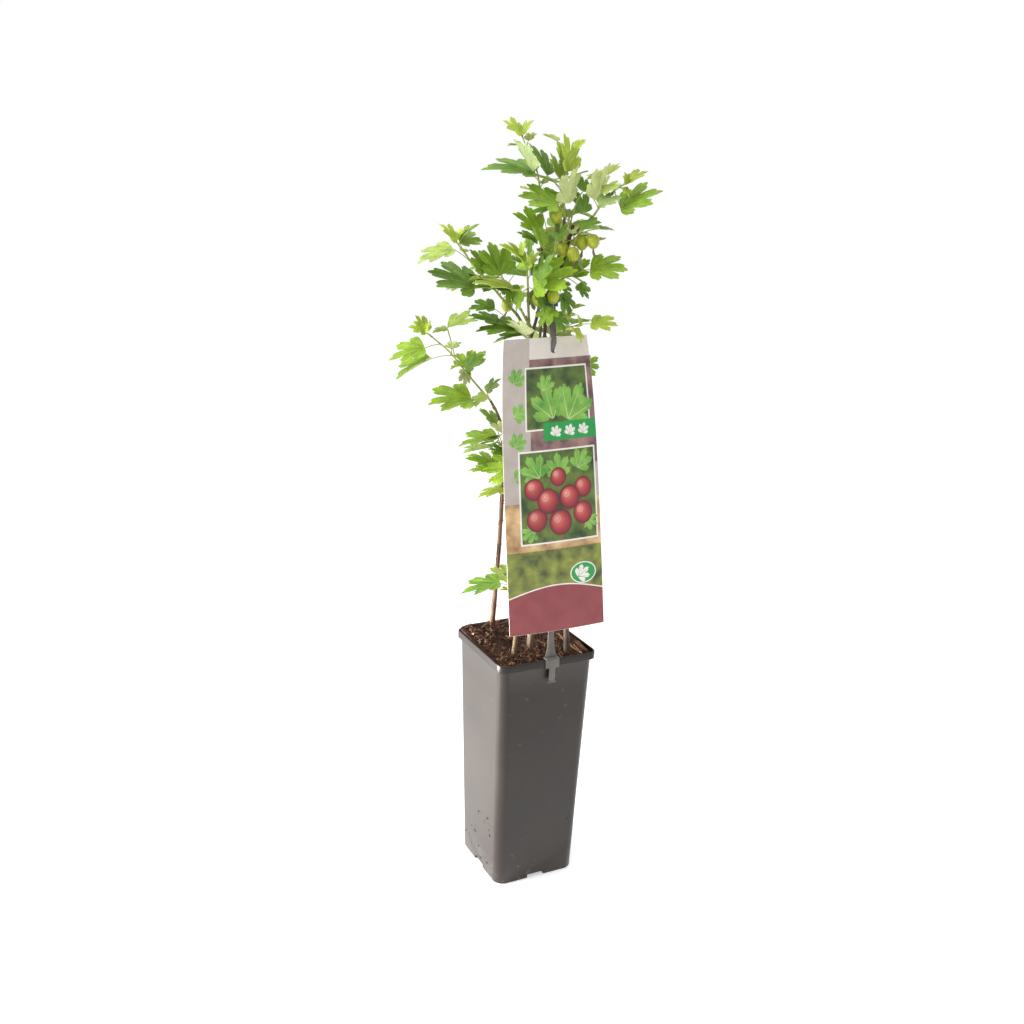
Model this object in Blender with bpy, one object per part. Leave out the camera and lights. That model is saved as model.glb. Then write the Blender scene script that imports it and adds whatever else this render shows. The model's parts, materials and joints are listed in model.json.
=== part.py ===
"""A young red gooseberry bush in its deep square nursery pot, with its hanging label.

Blender 4.5, metres, +Z up. The origin is the middle of the pot's flat underside, and the
pot's dark front face looks along -Y. Lengths below are in millimetres until solid() makes
the meshes. The bush is laid out in the frame that it was photographed in, which is turned
by VIEW_TURN from the pot's: across (to the right), back (away from the viewer) and up.
"""
import random
from collections import namedtuple
from itertools import product
from math import cos, exp, pi, radians, sin

import bmesh
import bpy
from mathutils import Vector
from mathutils.bvhtree import BVHTree

MM = 0.001
GAP = 0.3
VIEW_TURN = radians(26.85)
ACROSS = Vector((cos(VIEW_TURN), -sin(VIEW_TURN), 0))
BACK = Vector((sin(VIEW_TURN), cos(VIEW_TURN), 0))
UP = Vector((0, 0, 1))

# Pot
POT_HEIGHT = 243.0
POT_WALL = 1.5
POT_FLOOR = 1.6
FOOT_HALF = 43.7
BODY_HALF = 50.2
BODY_CORNER = 10.8
RIM_HALF = 52.5
RIM_CORNER = 8.6
RIM_DEPTH = 7.6
EDGE_ROUND = 0.8
NOTCH_WIDTH = 19.0
NOTCH_HEIGHT = 4.5
NOTCH_REACH = 15.0
DRAIN_RADIUS = 3.5
CUT_MARGIN = 3.0

# Compost
SOIL_LEVEL = 239.2
SOIL_HEAP = 6.5
SOIL_LUMPS = 0.8
SOIL_RINGS = 5
FOOT_SINK = 1.0

# Label card, holder and tie
CARD_WIDTH = 98.0
CARD_LENGTH = 275.0
CARD_THICKNESS = 0.7
CARD_TOP = (8.8, -12.5, 543.5)
CARD_TURN = radians(-5)
CARD_SWING = radians(7)
CARD_LEAN = radians(-2.1)
CARD_BOW = 3.0
CARD_TWIST = radians(17)
CARD_TWIST_REACH = 80.0
CARD_ROW_POWER = 1.6
HOLE_ACROSS = 5.2
HOLE_DOWN = 8.5
HOLE_WIDTH = 6.4
HOLE_LENGTH = 12.0
STRAP_WIDTH = 4.6
STRAP_THICKNESS = 1.3
STRAP_TOP = (12.3, -5.0, 579.0)
STRAP_STRAIGHT = 11.5
STRAP_FLARE = 6.0
STRAP_BEFORE = 0.9
STRAP_BEHIND = 0.9
CLIP_X = 2.0
CLIP_WIDTH = 14.6
CLIP_WALL = 1.4
CLIP_DROP = 8.2
CLIP_NARROWING = 2.0
TONGUE_WIDTH = 6.6
TONGUE_DROP = 22.0
LIP_OUT = 1.2
TIE_PLACE = (6.4, -1.25, 569.5)
TIE_HALF_WIDTH = 9.1
TIE_HALF_DEPTH = 5.6
TIE_CORNER = 3.0
TIE_WIRE = 1.2
TIE_HEIGHT = 7.0

# Leaf: one half of its outline, as turns from the midrib in degrees and reaches
LEAF_OUTLINE = ((14, 0.72), (34, 0.96), (48, 0.62), (63, 0.60))
LEAF_HEART = 0.30
LEAF_THICKNESS = 0.6
LEAF_FOLD = 0.22
LEAF_DROOP = 0.10
STALK_RADIUS = 0.65
STALK_SINK = 2.0
STALK_FLARE = 1.3
STALK_TIP = 0.5
CLEARANCE = 0.3
BERRY_WIDTH = 11.0
BERRY_LENGTH = 13.0
BERRY_SINK = 1.5

Limb = namedtuple("Limb", "route radii")
Bough = namedtuple("Bough", "parent height route radii")
Shoot = namedtuple("Shoot", "parent height route radii leaves spare")
Leaf = namedtuple("Leaf", "share stalk_turn stalk turn length toward face")
Berry = namedtuple("Berry", "share across back up")

# Leaves that grow by rule, largest at the shoot's foot
RULED_STALK = (10, 17)
RULED_LENGTH = (27, 36)
RULED_SHRINK = 0.4
GOLDEN_TURN = 2.4
HIDDEN_SPREAD = 1.25

# Canes: their feet stand on the compost, so the first height is only a guide
CANES = {
    "cane_left": Limb([(-34, 27, 243), (-30, 23, 320), (-28, 18, 391), (-26, 13, 441), (-20, 9, 490),
                       (-6, 4, 543), (0, 2, 573), (0, 1, 609), (-2, 0, 650)], (2.6, 1.9, 1.6, 1.2)),
    "cane_front": Limb([(-11, -32, 236), (-7, -23, 311), (-2, -12, 410), (0, -6, 500), (3.5, -2.5, 573),
                        (10, -4, 585)], (2.2, 1.6, 1.4, 1.2)),
    "cane_middle": Limb([(5, -11, 237), (6, -2, 407), (6, 0, 500), (6.5, 1, 573), (14, 0, 607),
                         (19, 0, 648)], (3.4, 2.2, 1.7, 1.3)),
    "cane_right": Limb([(41, -16, 235), (26, -4, 408), (17, -1, 500), (10.6, 1.9, 573), (19, 3, 607),
                        (27, 3, 642)], (2.9, 2.2, 1.7, 1.4)),
}
FLARE = 1.35
FLARE_REACH = 9.0

# Boughs: the parent cane, the height at which they leave it, their route and radii
BOUGHS = {
    "bough_low_left": Bough("cane_left", 447, [(-35, 8, 467), (-42, 5, 480)], (1.5, 1.2)),
    "bough_high_left": Bough("cane_left", 541, [(-19, 6, 559), (-31, 6, 571)], (1.4, 1.2)),
    "bough_mid": Bough("cane_left", 524, [(-8, -4, 540), (-10, -6, 566), (-11, -8, 583)], (1.3, 1.1)),
    "bough_right": Bough("cane_right", 634, [(37, 1, 643), (44, 0, 650)], (1.3, 1.1)),
    "bough_back_left": Bough("cane_left", 548, [(-12, 18, 556), (-22, 34, 572)], (1.3, 1.0)),
    "bough_back_right": Bough("cane_right", 590, [(18, 16, 602), (20, 32, 624)], (1.3, 1.0)),
    "bough_back_low": Bough("cane_middle", 470, [(8, 16, 488), (12, 34, 508)], (1.3, 1.0)),
}

# Leafy shoots. Each stands on a limb's tip, or grows from a cane where a height is given. A leaf
# gives its share along the shoot, the turn and length of its stalk, the turn and length of its
# blade, how far it comes toward the viewer, and how far its upper side rolls from edge-on towards
# the viewer; below nothing, its underside shows. The last number is how many more leaves grow by
# rule, mostly on the far side.
SHOOTS = {
    "leaves_low_left": Shoot("bough_low_left", None,
                             [(-62, 0, 503), (-80, -4, 525), (-99, -8, 541)], (1.1, 0.6), [
        Leaf(0.02, 110, 7, 55, 17, 0, 20),
        Leaf(0.04, 95, 3, 210, 20, 10, 20),
        Leaf(0.06, 190, 14, 180, 42, 15, 20),
        Leaf(0.3, 125, 12, 45, 22, 0, 25),
        Leaf(0.36, 110, 6, 260, 15, 10, -45),
        Leaf(0.62, 105, 29, 20, 29, 10, 10),
        Leaf(0.62, 105, 28, 190, 14, 10, 15),
        Leaf(0.66, 190, 20, 205, 37, 15, 5),
        Leaf(0.84, 195, 15, 195, 33, 12, 30),
        Leaf(0.96, 150, 7, 120, 18, 0, 30),
        Leaf(0.98, 155, 6, 155, 16, 15, 20),
        Leaf(0.99, 125, 4, 85, 12, -10, 20)], 1),
    "leaves_high_left": Shoot("bough_high_left", None,
                              [(-49, 4, 591), (-66, 2, 610), (-78, 0, 625)], (1.1, 0.6), [
        Leaf(0.05, 45, 15, 165, 38, 10, 5),
        Leaf(0.12, 45, 11, 300, 18, 15, 55),
        Leaf(0.02, 15, 22, 320, 16, -15, 45),
        Leaf(0.22, 180, 18, 155, 45, 12, 20),
        Leaf(0.3, 45, 12, 105, 32, -10, 60),
        Leaf(0.46, 30, 4, 120, 24, 0, 35),
        Leaf(0.62, 145, 23, 195, 34, 15, 20),
        Leaf(0.84, 115, 8, 10, 22, -15, 35),
        Leaf(0.93, 65, 7, 45, 20, -20, 15),
        Leaf(0.97, 160, 1, 125, 20, 10, 20),
        Leaf(0.98, 60, 2, 60, 13, 0, 20),
        Leaf(0.4, 300, 6, 350, 22, 0, 20)], 2),
    "leaves_mid": Shoot("bough_mid", None, [(-13, -10, 604), (-18, -12, 613)], (1.0, 0.6), [
        Leaf(0.45, 205, 2, 170, 21, -10, 10),
        Leaf(0.75, 140, 4, 155, 12, -10, 30),
        Leaf(0.8, 325, 4, 60, 16, 15, 25),
        Leaf(0.92, 320, 3, 140, 27, 15, 15),
        Leaf(0.3, 60, 4, 95, 22, 5, 10),
        Leaf(0.1, 340, 6, 290, 20, 0, 25),
        Leaf(0.05, 200, 5, 250, 20, -8, 25),
        Leaf(0.96, 95, 3, 85, 15, 0, 20)], 0),
    "leaves_top_left": Shoot("cane_left", None,
                             [(-4, 0, 671), (-9, -2, 692), (-17, -4, 706), (-22, -6, 716)], (1.1, 0.5), [
        Leaf(0.03, 270, 18, 145, 29, 15, 35),
        Leaf(0.05, 265, 28, 150, 20, 10, 15),
        Leaf(0.45, 130, 4, 170, 44, 12, 20),
        Leaf(0.6, 250, 6, 120, 30, -5, -15),
        Leaf(0.97, 120, 3, 145, 19, 15, 25),
        Leaf(0.98, 100, 2, 55, 14, 10, 30),
        Leaf(0.04, 250, 22, 262, 22, 0, 20),
        Leaf(0.06, 288, 24, 278, 20, -5, 30)], 3),
    "leaves_top": Shoot("cane_middle", None, [(16, 0, 667), (16, -2, 687), (16, -3, 700)], (1.1, 0.5), [
        Leaf(0.05, 130, 8, 190, 26, 10, 20),
        Leaf(0.18, 160, 6, 150, 36, 15, 25),
        Leaf(0.4, 135, 20, 115, 31, -5, 20),
        Leaf(0.48, 110, 9, 110, 22, -12, 30),
        Leaf(0.58, 290, 19, 85, 33, 12, -35),
        Leaf(0.8, 140, 1, 100, 24, 10, 20),
        Leaf(0.85, 300, 6, 95, 32, 5, 25),
        Leaf(0.9, 110, 19, 150, 15, -20, 15),
        Leaf(0.95, 45, 13, 45, 12, -10, 30)], 2),
    "leaves_right": Shoot("bough_right", None, [(51, -3, 661), (59, -6, 671), (70, -10, 679)], (1.0, 0.5), [
        Leaf(0.2, 125, 13, 80, 20, -10, 15),
        Leaf(0.25, 125, 6, 75, 32, -5, -35),
        Leaf(0.35, 200, 5, 25, 20, 10, 25),
        Leaf(0.55, 155, 7, 30, 19, 10, 20),
        Leaf(0.7, 295, 16, 30, 38, 12, 25),
        Leaf(0.95, 20, 2, 100, 10, 5, 35),
        Leaf(0.97, 5, 2, 35, 21, 0, 20)], 1),
    "leaves_cane_left": Shoot("cane_left", 436, [(-32, 6, 439), (-35, 3, 442)], (0.9, 0.6), [
        Leaf(0.5, 115, 7, 185, 35, 10, 5),
        Leaf(0.3, 85, 12, 140, 17, 10, -40),
        Leaf(0.9, 85, 6, 200, 17, 20, 0)], 2),
    "leaves_cane_low": Shoot("cane_left", 404, [(-30, 9, 407), (-30, 5, 410)], (0.9, 0.6), [
        Leaf(0.9, 30, 20, 185, 34, 0, 60),
        Leaf(0.6, 80, 24, 155, 18, 10, 15),
        Leaf(0.4, 295, 14, 185, 30, 12, 0)], 2),
    "leaves_foot": Shoot("cane_front", 300, [(-13, -28, 306)], (0.8, 0.6), [
        Leaf(0.95, 155, 15, 190, 36, 10, 5),
        Leaf(0.6, 115, 14, 155, 9, -20, 10)], 1),
    "leaves_under": Shoot("cane_left", 538, [(-13, -1, 543), (-18, -6, 547)], (0.9, 0.6), [
        Leaf(0.2, 155, 31, 160, 26, -5, 15),
        Leaf(0.35, 165, 3, 185, 26, 10, 5),
        Leaf(0.5, 150, 9, 175, 37, 12, 15),
        Leaf(0.6, 125, 4, 150, 18, -5, 15),
        Leaf(0.9, 355, 7, 135, 24, 15, -35),
        Leaf(0.7, 140, 33, 175, 24, 5, 15)], 1),
    "leaves_right_up": Shoot("cane_middle", 622, [(23, 6, 634), (27, 9, 655), (33, 8, 670)], (0.9, 0.5), [
        Leaf(0.6, 10, 11, 110, 21, -10, 40),
        Leaf(0.9, 55, 7, 100, 16, -20, 40),
        Leaf(0.05, 235, 16, 145, 17, -10, 40),
        Leaf(0.3, 165, 13, 80, 20, 0, 30)], 2),
    "leaves_fruit": Shoot("cane_right", 628, [(30, -4, 632), (35, -7, 637)], (0.9, 0.6), [
        Leaf(0.6, 75, 6, 25, 21, 15, 20),
        Leaf(0.8, 15, 19, 360, 13, -20, 15),
        Leaf(0.3, 280, 18, 305, 14, -15, 25)], 1),
    "leaves_heart_right": Shoot("cane_right", 594, [(24, -3, 597), (29, -6, 599)], (0.9, 0.6), [
        Leaf(0.9, 20, 17, 10, 33, 12, 35),
        Leaf(0.5, 330, 12, 315, 16, 10, 40),
        Leaf(0.3, 260, 14, 305, 22, 15, 30),
        Leaf(0.4, 215, 9, 345, 16, 5, 30)], 1),
    "leaves_heart_front": Shoot("cane_front", None, [(11, -9, 604), (9, -11, 622)], (0.9, 0.6), [
        Leaf(0.2, 190, 18, 30, 40, 18, 35),
        Leaf(0.35, 205, 13, 75, 27, 5, 25),
        Leaf(0.05, 275, 18, 225, 20, 20, 40),
        Leaf(0.85, 80, 13, 60, 16, 5, 40),
        Leaf(0.9, 152, 10, 118, 21, 5, 25)], 0),
    "leaves_right_low": Shoot("cane_right", 545,
                              [(19, -5, 549), (28, -10, 553), (35, -12, 555)], (0.8, 0.5), [
        Leaf(0.3, 115, 17, 310, 19, 10, 30),
        Leaf(0.5, 70, 20, 25, 12, -15, 15),
        Leaf(0.9, 350, 4, 95, 11, 0, 15),
        Leaf(0.95, 10, 13, 5, 25, 12, 25)], 1),
    "leaves_cane_right": Shoot("cane_right", 500, [(25, 4, 503), (30, 7, 506)], (0.8, 0.6), [
        Leaf(0.8, 35, 19, 350, 17, -5, 80)], 3),
    "leaves_back_left": Shoot("bough_back_left", None, [(-33, 48, 586), (-44, 58, 606)], (1.0, 0.5), [], 7),
    "leaves_back_right": Shoot("bough_back_right", None, [(23, 44, 638), (25, 50, 650)], (1.0, 0.5), [], 8),
    "leaves_back_low": Shoot("bough_back_low", None, [(15, 50, 528), (16, 64, 548)], (1.0, 0.5), [], 8),
}

# Berries: the share of the shoot they hang from, and their centre
BERRIES = {
    "leaves_top": [Berry(0.05, 10.9, -9, 649)],
    "leaves_fruit": [Berry(0.3, 18.5, -6, 620.5), Berry(0.5, 27.5, -14, 617.5),
                     Berry(0.8, 35.1, -7, 627), Berry(0.95, 44.6, -14, 629)],
    "leaves_heart_front": [Berry(0.1, 7.4, -9, 592), Berry(0.05, 11.4, -18, 580.3),
                           Berry(0.08, -1.9, -14, 577)],
    "leaves_back_right": [Berry(0.15, 22, 42, 622)],
    "leaves_back_left": [Berry(0.2, -30, 44, 565)],
}

# Exact gives way to this solver where it leaves edges open in a mass
MASS_SOLVER = "MANIFOLD"
# What is tried when a leaf finds no room: shifts in depth, then turns of its blade
SHIFTS = (0, -5, 5, -10, 10, -15, 15)
TURNS = ((0, 0), (0, 14), (0, -14), (14, 0), (-14, 0), (0, 28), (0, -28), (24, 12), (-24, 12))


def plan(point):
    """The place, in the pot's frame, of a point given as across, back and up."""
    across, back, up = point
    return ACROSS * across + BACK * back + UP * up


def clear_scene():
    for thing in list(bpy.data.objects):
        bpy.data.objects.remove(thing, do_unlink=True)


def material(name, colour, roughness, metallic=0.0):
    finish = bpy.data.materials.new(name)
    finish.use_nodes = True
    shader = finish.node_tree.nodes["Principled BSDF"]
    shader.inputs["Base Color"].default_value = (*colour, 1)
    shader.inputs["Roughness"].default_value = roughness
    shader.inputs["Metallic"].default_value = metallic
    return finish


def solid(name, shape, finish=None, smooth=radians(40)):
    """An object from points in millimetres and faces, its faces pointing out."""
    points, faces = shape
    mesh = bpy.data.meshes.new(name)
    mesh.from_pydata([Vector(p) * MM for p in points], [], faces)
    editable = bmesh.new()
    editable.from_mesh(mesh)
    bmesh.ops.recalc_face_normals(editable, faces=editable.faces)
    editable.to_mesh(mesh)
    editable.free()
    mesh.shade_smooth()
    mesh.set_sharp_from_angle(angle=smooth)
    thing = bpy.data.objects.new(name, mesh)
    bpy.context.scene.collection.objects.link(thing)
    if finish:
        mesh.materials.append(finish)
    return thing


def apply_modifiers(thing):
    """Turn the object's evaluated shape into its mesh."""
    graph = bpy.context.evaluated_depsgraph_get()
    shape = bpy.data.meshes.new_from_object(thing.evaluated_get(graph))
    thing.modifiers.clear()
    old = thing.data
    thing.data = shape
    bpy.data.meshes.remove(old)


def combine(thing, tools, operation, solver="EXACT"):
    """Cut the tools from a solid, or join them to it, in one Boolean."""
    group = bpy.data.collections.new(thing.name + "_tools")
    for tool in tools:
        bpy.context.scene.collection.objects.unlink(tool)
        group.objects.link(tool)
    bpy.context.scene.collection.children.link(group)
    step = thing.modifiers.new(operation.title(), "BOOLEAN")
    step.operation = operation
    step.operand_type = "COLLECTION"
    step.collection = group
    step.solver = solver
    apply_modifiers(thing)
    for tool in tools:
        bpy.data.objects.remove(tool, do_unlink=True)
    bpy.data.collections.remove(group)


def loft(rings):
    """A closed shape through rings that have the same number of points."""
    count = len(rings[0])
    points = [p for ring in rings for p in ring]
    faces = [tuple(reversed(range(count)))]
    for k in range(len(rings) - 1):
        for i in range(count):
            j = (i + 1) % count
            faces.append((k * count + i, k * count + j, (k + 1) * count + j, (k + 1) * count + i))
    faces.append(tuple(range((len(rings) - 1) * count, len(rings) * count)))
    return points, faces


def rounded_rectangle(half_x, half_y, corner, z, steps=3):
    ring = []
    for quarter, (sx, sy) in enumerate(((1, 1), (-1, 1), (-1, -1), (1, -1))):
        for k in range(steps + 1):
            turn = pi / 2 * (quarter + k / steps)
            ring.append((sx * (half_x - corner) + corner * cos(turn),
                         sy * (half_y - corner) + corner * sin(turn), z))
    return ring


def rounded_square(half, corner, z):
    return rounded_rectangle(half, half, corner, z)


def box(low, high):
    (x0, y0, z0), (x1, y1, z1) = low, high
    return loft([[(x0, y0, z), (x1, y0, z), (x1, y1, z), (x0, y1, z)] for z in (z0, z1)])


def smooth_route(points, steps=3):
    """A Catmull-Rom curve through the points."""
    p = [Vector(q) for q in points]
    p = [p[0] * 2 - p[1]] + p + [p[-1] * 2 - p[-2]]
    route = []
    for a, b, c, d in zip(p, p[1:], p[2:], p[3:]):
        for k in range(steps):
            t = k / steps
            route.append(0.5 * (2 * b + (c - a) * t + (2 * a - 5 * b + 4 * c - d) * t ** 2
                                + (3 * b - a - 3 * c + d) * t ** 3))
    return route + [p[-2]]


def lengths_along(route):
    run = [0.0]
    for a, b in zip(route, route[1:]):
        run.append(run[-1] + (b - a).length)
    return run


def place_on(route, share):
    """The point and the direction at a share of the route's length."""
    run = lengths_along(route)
    want = share * run[-1]
    for k in range(len(route) - 1):
        if want <= run[k + 1] or k == len(route) - 2:
            step = route[k + 1] - route[k]
            return route[k] + step * ((want - run[k]) / step.length), step.normalized()


def blend(values, share):
    """A value from an even list of them, at a share from 0 to 1."""
    spot = min(max(share, 0), 1) * (len(values) - 1)
    k = min(int(spot), len(values) - 2)
    return values[k] + (values[k + 1] - values[k]) * (spot - k)


def tube(route, radii, sides=7, level_foot=False, flare=1.0):
    """A tapering round limb along a route, its foot cut level if it stands on the ground."""
    run = lengths_along(route)
    side = Vector((1, 0, 0))
    rings = []
    for k, point in enumerate(route):
        along = (route[min(k + 1, len(route) - 1)] - route[max(k - 1, 0)]).normalized()
        if k == 0 and level_foot:
            along = UP
        side = (side - along * side.dot(along)).normalized()
        other = along.cross(side)
        radius = blend(radii, run[k] / run[-1]) * (1 + (flare - 1) * exp(-run[k] / FLARE_REACH))
        rings.append([point + (side * cos(2 * pi * i / sides) + other * sin(2 * pi * i / sides)) * radius
                      for i in range(sides)])
    return loft(rings)


def ribbon(path, across, widths, thicknesses):
    """A flat strap along a path, its width lying along the across direction."""
    rings = []
    for k, point in enumerate(path):
        along = (path[min(k + 1, len(path) - 1)] - path[max(k - 1, 0)]).normalized()
        side = (across - along * across.dot(along)).normalized() * (widths[k] / 2)
        front = along.cross(side.normalized()) * (thicknesses[k] / 2)
        rings.append([point - side - front, point + side - front,
                      point + side + front, point - side + front])
    return loft(rings)


def soil_height(x, y):
    """The compost's surface: level in front, heaped up towards the back left corner."""
    heap = min(max((y - 0.35 * x + 5) / 45, 0), 1)
    heap = heap * heap * (3 - 2 * heap)
    lumps = sin(0.31 * x + 1.3) * sin(0.27 * y + 0.4) + 0.6 * sin(0.55 * x - 0.43 * y)
    return SOIL_LEVEL + SOIL_HEAP * heap + SOIL_LUMPS * lumps


def round_block(centre, radius, low, high, sides=12):
    """An upright round plug between two heights."""
    turns = [2 * pi * k / sides for k in range(sides)]
    return loft([[(centre.x + radius * cos(turn), centre.y + radius * sin(turn), z) for turn in turns]
                 for z in (low, high)])


def make_pot(finish):
    """A tapered square pot with a stepped rim and a drain pocket under each side."""
    step_z = POT_HEIGHT - RIM_DEPTH
    inner = BODY_CORNER - POT_WALL
    rim_inner = RIM_CORNER - POT_WALL / 2
    pot = solid("pot", loft([
        rounded_square(FOOT_HALF - EDGE_ROUND, BODY_CORNER, 0),
        rounded_square(FOOT_HALF, BODY_CORNER, 1.5 * EDGE_ROUND),
        rounded_square(BODY_HALF, BODY_CORNER, step_z),
        rounded_square(RIM_HALF, RIM_CORNER, step_z + EDGE_ROUND / 2),
        rounded_square(RIM_HALF, RIM_CORNER, POT_HEIGHT - EDGE_ROUND),
        rounded_square(RIM_HALF - EDGE_ROUND / 2, RIM_CORNER, POT_HEIGHT),
        rounded_square(RIM_HALF - POT_WALL, rim_inner, POT_HEIGHT),
        rounded_square(RIM_HALF - POT_WALL, rim_inner, step_z + POT_WALL),
        rounded_square(BODY_HALF - POT_WALL, inner, step_z),
        rounded_square(FOOT_HALF - POT_WALL, inner, POT_FLOOR)]), finish)
    pockets = []
    notches = []
    for turn in range(4):
        outward = Vector((cos(turn * pi / 2), sin(turn * pi / 2), 0))
        sideways = Vector((-outward.y, outward.x, 0))
        pockets.append(drain_block("pocket", outward, sideways, FOOT_HALF - NOTCH_REACH - POT_FLOOR,
                                   FOOT_HALF - EDGE_ROUND, NOTCH_WIDTH / 2 + POT_FLOOR, EDGE_ROUND,
                                   NOTCH_HEIGHT + POT_FLOOR))
        notches.append(drain_block("notch", outward, sideways, FOOT_HALF - NOTCH_REACH,
                                   FOOT_HALF + CUT_MARGIN, NOTCH_WIDTH / 2, -CUT_MARGIN, NOTCH_HEIGHT))
        hole = outward * (FOOT_HALF - NOTCH_REACH / 2)
        top = NOTCH_HEIGHT + CUT_MARGIN
        notches.append(solid("drain", round_block(hole, DRAIN_RADIUS, NOTCH_HEIGHT - 1, top)))
    combine(pot, pockets, "UNION")
    combine(pot, notches, "DIFFERENCE")
    return pot


def drain_block(name, outward, sideways, near, far, half_width, low, high):
    corners = [outward * near - sideways * half_width, outward * far - sideways * half_width,
               outward * far + sideways * half_width, outward * near + sideways * half_width]
    return solid(name, loft([[(c.x, c.y, z) for c in corners] for z in (low, high)]))


def make_soil(finish, feet):
    """The compost that fills the pot, with a level pad under each cane."""
    half = FOOT_HALF - POT_WALL - GAP
    top_half = BODY_HALF - POT_WALL - 1.5 * GAP
    corner = BODY_CORNER - POT_WALL
    step_z = POT_HEIGHT - RIM_DEPTH
    rim_half = RIM_HALF - POT_WALL - 1.5 * GAP
    rim_corner = RIM_CORNER - POT_WALL / 2 + GAP
    rings = [rounded_square(half, corner, POT_FLOOR + GAP), rounded_square(top_half, corner, step_z),
             rounded_square(rim_half, rim_corner, step_z + POT_WALL + GAP)]
    for k in range(SOIL_RINGS):
        shrink = 1 - k / SOIL_RINGS
        ring = []
        for x, y, _ in rounded_square(rim_half - GAP / 2, rim_corner, 0):
            ring.append((x * shrink, y * shrink, soil_height(x * shrink, y * shrink)))
        rings.append(ring)
    soil = solid("compost", loft(rings), finish)
    cuts = []
    for turn in range(4):
        outward = Vector((cos(turn * pi / 2), sin(turn * pi / 2), 0))
        sideways = Vector((-outward.y, outward.x, 0))
        cuts.append(drain_block("pocket_room", outward, sideways, FOOT_HALF - NOTCH_REACH - POT_FLOOR - GAP,
                                FOOT_HALF + CUT_MARGIN, NOTCH_WIDTH / 2 + POT_FLOOR + GAP, 0,
                                NOTCH_HEIGHT + POT_FLOOR + GAP))
    for foot, radius in feet:
        pad = round_block(foot, radius + 2 * GAP, foot.z - GAP, foot.z + SOIL_HEAP)
        cuts.append(solid("pad_room", pad))
    combine(soil, cuts, "DIFFERENCE")
    return soil


def cane_route(name):
    """A cane's smooth route in the pot's frame, its foot sunk a little below the compost."""
    route = [plan(p) for p in CANES[name].route]
    route[0].z = soil_height(route[0].x, route[0].y) - FOOT_SINK
    return smooth_route(route)


def leave_limb(route, radii, height, first, radius):
    """Where a side limb starts: just clear of its parent's surface at a height."""
    for k in range(len(route) - 1):
        if route[k].z <= height <= route[k + 1].z:
            share = (height - route[k].z) / (route[k + 1].z - route[k].z)
            spot = route[k].lerp(route[k + 1], share)
            along = (route[k + 1] - route[k]).normalized()
            run = lengths_along(route)
            parent_radius = blend(radii, (run[k] + share * (run[k + 1] - run[k])) / run[-1])
            outward = (first - spot) - along * (first - spot).dot(along)
            slope = abs((first - spot).normalized().dot(along))
            return spot + outward.normalized() * (parent_radius + radius * slope + 1.2 * GAP)
    raise ValueError("the parent doesn't reach this height")


def beyond_tip(route, first, radius):
    """Where a shoot starts: just clear of the limb tip that it stands on."""
    along = (route[-1] - route[-2]).normalized()
    skew = along.cross((first - route[-1]).normalized()).length
    return route[-1] + along * (1.2 * GAP + radius * skew)


def blade(base, along, face, length, thickness=LEAF_THICKNESS):
    """A lobed leaf blade: a fan of facets round a point on its midrib, folded at the midrib."""
    side = along.cross(face).normalized()
    face = side.cross(along).normalized()
    outline = [(-turn, reach) for turn, reach in reversed(LEAF_OUTLINE)] + [(0, 1)] + list(LEAF_OUTLINE)
    top = [base + along * (LEAF_HEART * length), base]
    for turn, reach in outline:
        out = reach * length * sin(radians(turn))
        forth = reach * length * cos(radians(turn))
        lift = LEAF_FOLD * abs(out) - LEAF_DROOP * length * reach ** 2
        top.append(base + along * forth + side * out + face * lift)
    count = len(top)
    points = [p + face * (thickness / 2) for p in top] + [p - face * (thickness / 2) for p in top]
    faces = []
    for k in range(1, count):
        after = k + 1 if k + 1 < count else 1
        faces.append((0, k, after))
        faces.append((count, count + after, count + k))
        faces.append((k, count + k, count + after, after))
    return points, faces


def stalk(start, end, along, radius):
    """A three-sided leaf stalk that runs a little way into the blade."""
    return tube([start, end + along * STALK_SINK], (radius * STALK_FLARE, radius * STALK_TIP), sides=3)


def berry(centre, width, length):
    """An oval berry hanging on its long axis."""
    rings = []
    for k in range(4):
        turn = pi * (k + 0.4) / 3.8
        rings.append([centre + Vector((cos(pi * i / 3) * sin(turn) * width / 2,
                                       sin(pi * i / 3) * sin(turn) * width / 2,
                                       -cos(turn) * length / 2)) for i in range(6)])
    return loft(rings)


def direction(turn, toward):
    """A direction from its turn in the picture and its slope towards the viewer."""
    flat = cos(radians(toward))
    return plan((cos(radians(turn)) * flat, -sin(radians(toward)), sin(radians(turn)) * flat))


def tabled_leaf(route, leaf, shift, swing, nod):
    """The stalk's ends, the blade's direction, the way its upper side looks and its length."""
    start, _ = place_on(route, leaf.share)
    way = direction(leaf.stalk_turn + swing / 2, (leaf.toward + nod) / 2)
    end = start + way * leaf.stalk + BACK * shift
    along = direction(leaf.turn + swing, leaf.toward + nod)
    edge_on = leaf.turn + (90 if cos(radians(leaf.turn)) > 0 else -90)
    face = radians(leaf.face)
    look = direction(edge_on, 0) * cos(face) - BACK * sin(face)
    return start, end, along, look, leaf.length


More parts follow.
